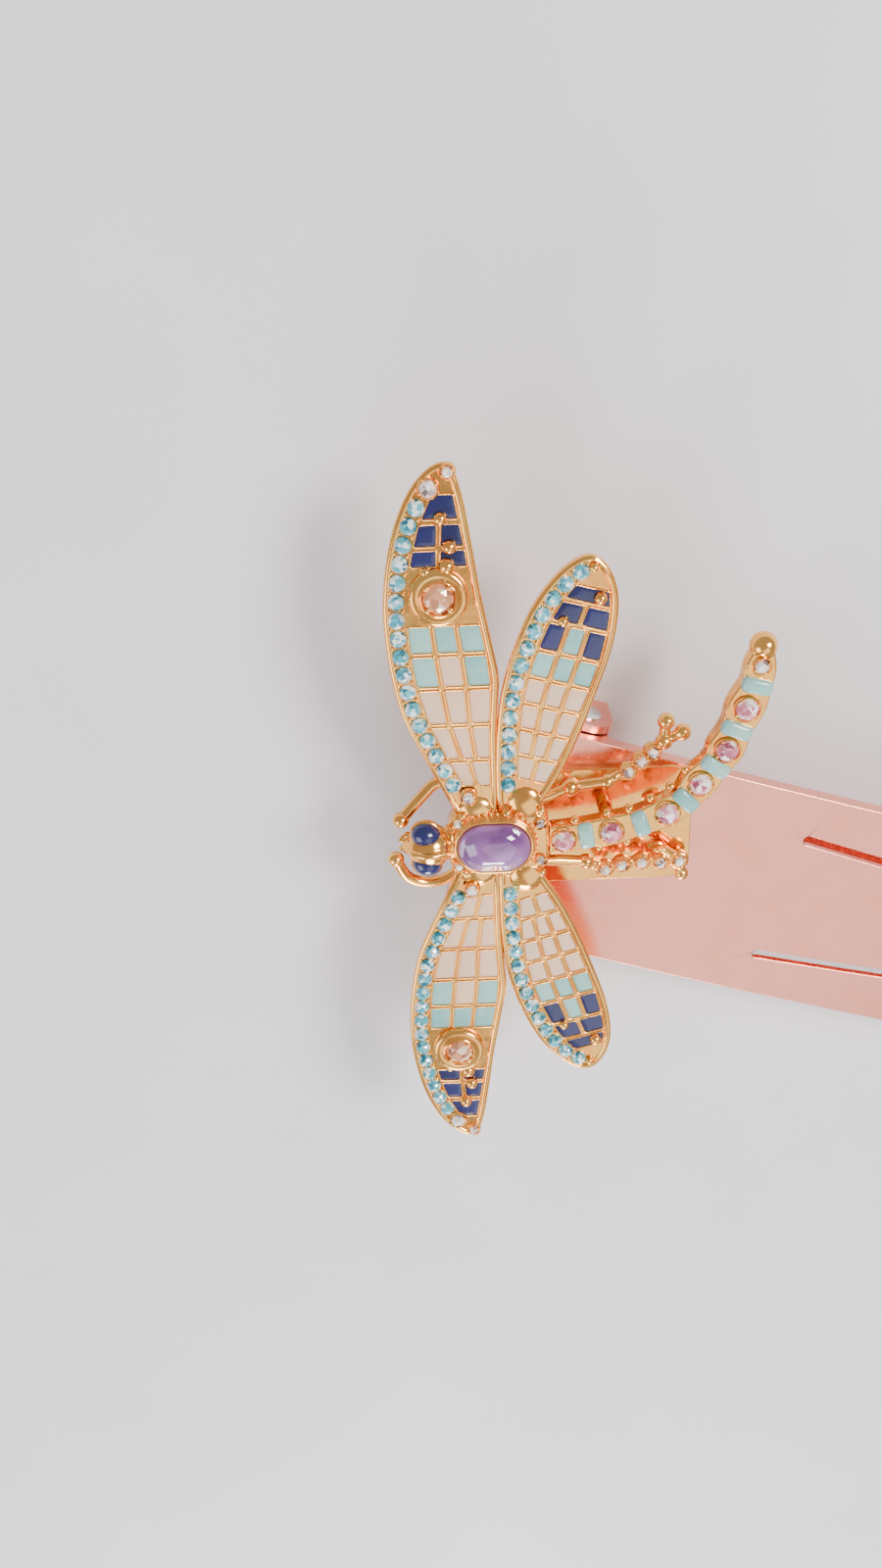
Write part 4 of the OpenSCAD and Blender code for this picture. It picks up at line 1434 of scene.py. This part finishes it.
@dataclass
class Abdomen:
    """The curved abdomen, its enamel saddles, its stones and its tail.

    Args:
        bench: the bench.
        edge_beads: the gold beads beside the abdomen, with their radii.
        bead_z: height of their middles, in millimetres.
        links: the cushions of metal along the abdomen, with their half widths.
        cushion_h: half a cushion's height, in millimetres.
        knob: the swelling that ends the tail.
        knob_r: its radius.
        tail_stone: the stone on it.
        tail_stone_r: the stone's radius.
        pink_stone_r: radius of the pink stones.
        saddle_share: how much wider the saddles are than their CAD solids.
    """

    bench: Bench
    edge_beads: Sequence[Spot] = (
        (7.8, 1.9, 0.5), (10.9, 2.6, 0.45), (13.0, 3.0, 0.5), (15.0, 4.0, 0.45), (16.9, 5.2, 0.5),
        (10.2, -1.1, 0.4), (12.9, -0.6, 0.4), (18.2, 6.9, 0.42),
    )
    bead_z: float = 0.5
    links: Sequence[Spot] = (
        (6.7, 0.1, 1.65), (8.9, 0.5, 1.25), (11.3, 0.8, 1.7), (14.1, 1.6, 1.25), (16.6, 2.6, 1.75),
        (18.3, 3.9, 1.3), (19.6, 5.6, 1.9), (20.9, 7.3, 1.35), (21.9, 9.0, 1.95), (22.7, 11.0, 1.4),
        (23.5, 13.1, 1.95), (24.3, 15.3, 1.4),
    )
    cushion_h: float = 1.05
    knob: Spot = (24.6, 17.2, 0.1)
    knob_r: float = 1.5 * MM
    tail_stone: Spot = (24.6, 17.2, 0.95)
    tail_stone_r: float = 0.72 * MM
    pink_stone_r: float = 1.08 * MM
    saddle_share: float = 1.38

    def build(self) -> None:
        """Builds every piece of the abdomen."""
        at = self.bench.ornament.at
        cushions = bmesh.new()
        for x, y, wide in self.links:
            add_ball(cushions, at(x, y, 0.15), wide * MM, (1, 1, self.cushion_h / wide), fine=True)
        self.bench.cast("abdomen", "abdomen_casting", 0.1 * MM, 6, extra=cushions)
        knob = bmesh.new()
        add_ball(knob, at(*self.knob), self.knob_r, (1, 1, 0.7), fine=True)
        self.bench.cast("tail_tip", "tail_casting", 0.08 * MM, 5, extra=knob)
        self.build_saddles()
        self.build_stones()
        self.bench.set_stones([at(*self.tail_stone)], self.tail_stone_r, "tail", "clear_stone")
        beads = [(at(x, y, self.bead_z), radius * MM) for x, y, radius in self.edge_beads]
        self.bench.set_grains(beads, "abdomen_beads")

    def build_saddles(self) -> None:
        """A domed band of aqua enamel across every other link."""
        bm = bmesh.new()
        shades = random.Random("saddles")
        for saddle in solids(self.bench.nodes["abdomen_enamel"]):
            rim = upper_rim(saddle)
            centre = middle(rim)
            wide = [centre + (p - centre) * self.saddle_share - UP * 0.3 * MM for p in rim]
            add_enamel(bm, soft_corners(wide, 0.5 * MM), 0.3 * MM, 0.62 * MM, 2.2, shades.random())
        self.bench.place(bm, "abdomen_saddles", "aqua_enamel", replaces=["abdomen_enamel"], smooth=60)

    def build_stones(self) -> None:
        """A pink stone on every other link, in a ring with four prongs."""
        seats = self.bench.seats("abdomen_stones", 0.08 * MM)
        self.bench.set_stones(seats, self.pink_stone_r, "abdomen", "pink_stone", ["abdomen_stones"])


@dataclass
class Legs:
    """One side's front leg and hind leg, and the hind one's stones.

    Args:
        bench: the bench.
        side: the dragonfly's side.
        left_path: the left front leg's bends.
        right_path: the right one's.
        leg_r: radius of a front leg.
        foot_r: radius of its foot.
        hind_grow: how much thicker the hind leg is than its CAD shape.
        stone_r: radius of its stones.
    """

    bench: Bench
    side: Side
    left_path: Sequence[Spot] = (
        (-2.1, 2.9, -1.0), (-3.6, 5.1, -1.3), (-5.3, 5.6, -1.3), (-6.8, 4.4, -0.9), (-8.9, 2.4, 0.0),
    )
    right_path: Sequence[Spot] = (
        (-2.1, -2.9, -1.0), (-4.6, -4.9, -1.3), (-6.7, -5.4, -1.3), (-8.6, -4.4, -0.8), (-9.6, -1.9, 0.0),
    )
    leg_r: float = 0.58 * MM
    foot_r: float = 0.8 * MM
    hind_grow: float = 0.16 * MM
    stone_r: float = 0.6 * MM

    def build(self) -> None:
        """Builds this side's two legs."""
        self.build_front()
        side = self.side.value
        self.bench.cast(f"hind_leg_{side}", f"hind_leg_{side}_casting", 0.08 * MM, 3, self.hind_grow)
        node = f"leg_stones_{side}"
        self.bench.set_stones(self.bench.seats(node), self.stone_r, f"leg_{side}", "clear_stone", [node])

    def build_front(self) -> None:
        """The front leg, one smooth bent wire with a ball for a foot."""
        name = f"front_leg_{self.side.value}"
        joints = self.left_path if self.side is Side.LEFT else self.right_path
        path = smooth_path(self.bench.ornament.path(joints), 8)
        bm = bmesh.new()
        add_tube(bm, path, self.leg_r, 16)
        add_ball(bm, path[-1], self.foot_r, fine=True)
        self.bench.place(bm, f"{name}_wire", "gold_plate", replaces=[name], smooth=80)


@dataclass(frozen=True)
class Lamp:
    """A square soft lamp that shines on the dragonfly.

    Args:
        name: the lamp's name.
        place: where it hangs: along the view's width, along its height, and above the floor.
        size: its width.
        power: its power in watts.
        colour: its light's colour.
    """

    name: str
    place: tuple[float, float, float]
    size: float
    power: float
    colour: Colour = (1, 1, 1)

    def hang(self, across: Vector, along: Vector) -> None:
        """Hangs the lamp.

        Args:
            across: the view's width as a direction on the floor.
            along: its height, in the same way.
        """
        light = bpy.data.lights.new(self.name, "AREA")
        light.size, light.energy, light.color = self.size, self.power, self.colour
        place = across * self.place[0] + along * self.place[1] + UP * self.place[2]
        aim = middle(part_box("cabochon")) - place
        turn = aim.to_track_quat("-Z", "Y").to_matrix().to_4x4()
        in_scene(self.name, light).matrix_world = Matrix.Translation(place) @ turn


@dataclass
class Studio:
    """The floor, the light and the camera.

    Args:
        tilt: the camera's lean from straight above the ornament, in degrees.
        turn: angle between the clip and the view's width, in degrees.
        distance: from the camera to where it aims.
        aim: from the cabochon to where it aims, along the view's width and height.
        lens: focal length in millimetres.
        sensor: the long side of the camera's sensor.
        floor_half: half the floor's width.
        floor_tints: the two colours that the floor's surface wavers between.
        room_colour: the light that comes from all round.
        room_strength: how strong it is.
        lamps: a key lamp, a wide panel, a fill and a rim lamp.
    """

    tilt: float = 26.4
    turn: float = 15.4
    distance: float = 121.2 * MM
    aim: tuple[float, float] = (-5.1 * MM, 5.9 * MM)
    lens: float = 29.25
    sensor: float = 36.0
    floor_half: float = 2.0
    floor_tints: tuple[Colour, Colour] = ((0.72, 0.70, 0.72), (0.76, 0.74, 0.76))
    room_colour: Colour = (0.86, 0.84, 0.88)
    room_strength: float = 0.61
    lamps: Sequence[Lamp] = (
        Lamp("key", (0.26, 0.16, 0.36), 0.16, 2.9, (1.0, 0.96, 0.90)),
        Lamp("panel", (0.16, -0.22, 0.42), 0.36, 0.55),
        Lamp("fill", (-0.34, -0.20, 0.30), 0.30, 1.3, (0.92, 0.93, 1.0)),
        Lamp("rim", (0.0, -0.38, 0.15), 0.14, 1.6),
    )

    def build(self) -> None:
        """Builds the whole studio."""
        self.build_floor()
        self.build_light()
        self.build_camera()

    def axes(self) -> tuple[Vector, Vector]:
        """The view's width and height as directions on the floor."""
        turn = math.radians(self.turn)
        return Vector((math.cos(turn), math.sin(turn), 0)), Vector((-math.sin(turn), math.cos(turn), 0))

    def build_camera(self) -> None:
        """The camera, which leans towards the view's upper edge."""
        across, along = self.axes()
        low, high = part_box("forewing_left")
        target = middle(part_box("cabochon")) + across * self.aim[0] + along * self.aim[1]
        target.z = (low.z + high.z) / 2
        lean = math.radians(self.tilt)
        look = -(along * math.sin(lean) + UP * math.cos(lean))
        top = along * math.cos(lean) - UP * math.sin(lean)
        camera = bpy.data.cameras.new("camera")
        camera.lens, camera.sensor_width, camera.sensor_fit = self.lens, self.sensor, "AUTO"
        camera.clip_start, camera.clip_end = 0.005, 20
        turn = Matrix((across, top, -look)).transposed().to_4x4()
        holder = in_scene("camera", camera)
        holder.matrix_world = Matrix.Translation(target - look * self.distance) @ turn
        bpy.context.scene.camera = holder

    def build_floor(self) -> None:
        """A plain pale floor."""
        bm = bmesh.new()
        bmesh.ops.create_grid(bm, x_segments=1, y_segments=1, size=self.floor_half)
        mesh = bpy.data.meshes.new("floor")
        bm.to_mesh(mesh)
        bm.free()
        shader = Shader("pale_floor")
        shader.set(roughness=0.7)
        tints = list(zip(PATTERN_RANGE, self.floor_tints))
        shader.feed("Base Color", shader.ramp(shader.noise(40, 2), tints))
        mesh.materials.append(shader.material)
        in_scene("floor", mesh)

    def build_light(self) -> None:
        """The four lamps, in a pale room."""
        world = bpy.data.worlds.new("room")
        world.use_nodes = True
        background = world.node_tree.nodes["Background"].inputs
        background["Color"].default_value = (*self.room_colour, 1)
        background["Strength"].default_value = self.room_strength
        bpy.context.scene.world = world
        for lamp in self.lamps:
            lamp.hang(*self.axes())


FORE_GRAINS = ((-3.8, 31.8, 0.65), (-3.1, 29.3, 0.68), (-3.4, 27.6, 0.78), (-5.3, 27.1, 0.5))
FORE_TIP_STONES = ((-3.05, 35.75, 0.55), (-4.75, 34.4, 0.82))
HIND_GRAINS = ((6.75, 22.1, 0.52), (10.05, 24.1, 0.62), (9.45, 26.9, 0.46))


def main() -> None:
    """Builds the clip, the dragonfly and the studio."""
    logging.basicConfig(level=logging.INFO, stream=sys.stdout, format="%(name)s %(message)s")
    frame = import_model()
    bench = Bench(frame["nodes"], Finishes().materials(), Ornament())
    Studio().build()
    Clip(bench).build()
    Trunk(bench).build()
    Abdomen(bench).build()
    for side in Side:
        Wing(bench, "forewing", side, FORE_GRAINS, FORE_TIP_STONES).build()
        Wing(bench, "hindwing", side, HIND_GRAINS).build()
        TipSetting(bench, side).build()
        Legs(bench, side).build()


if __name__ == "__main__":
    main()
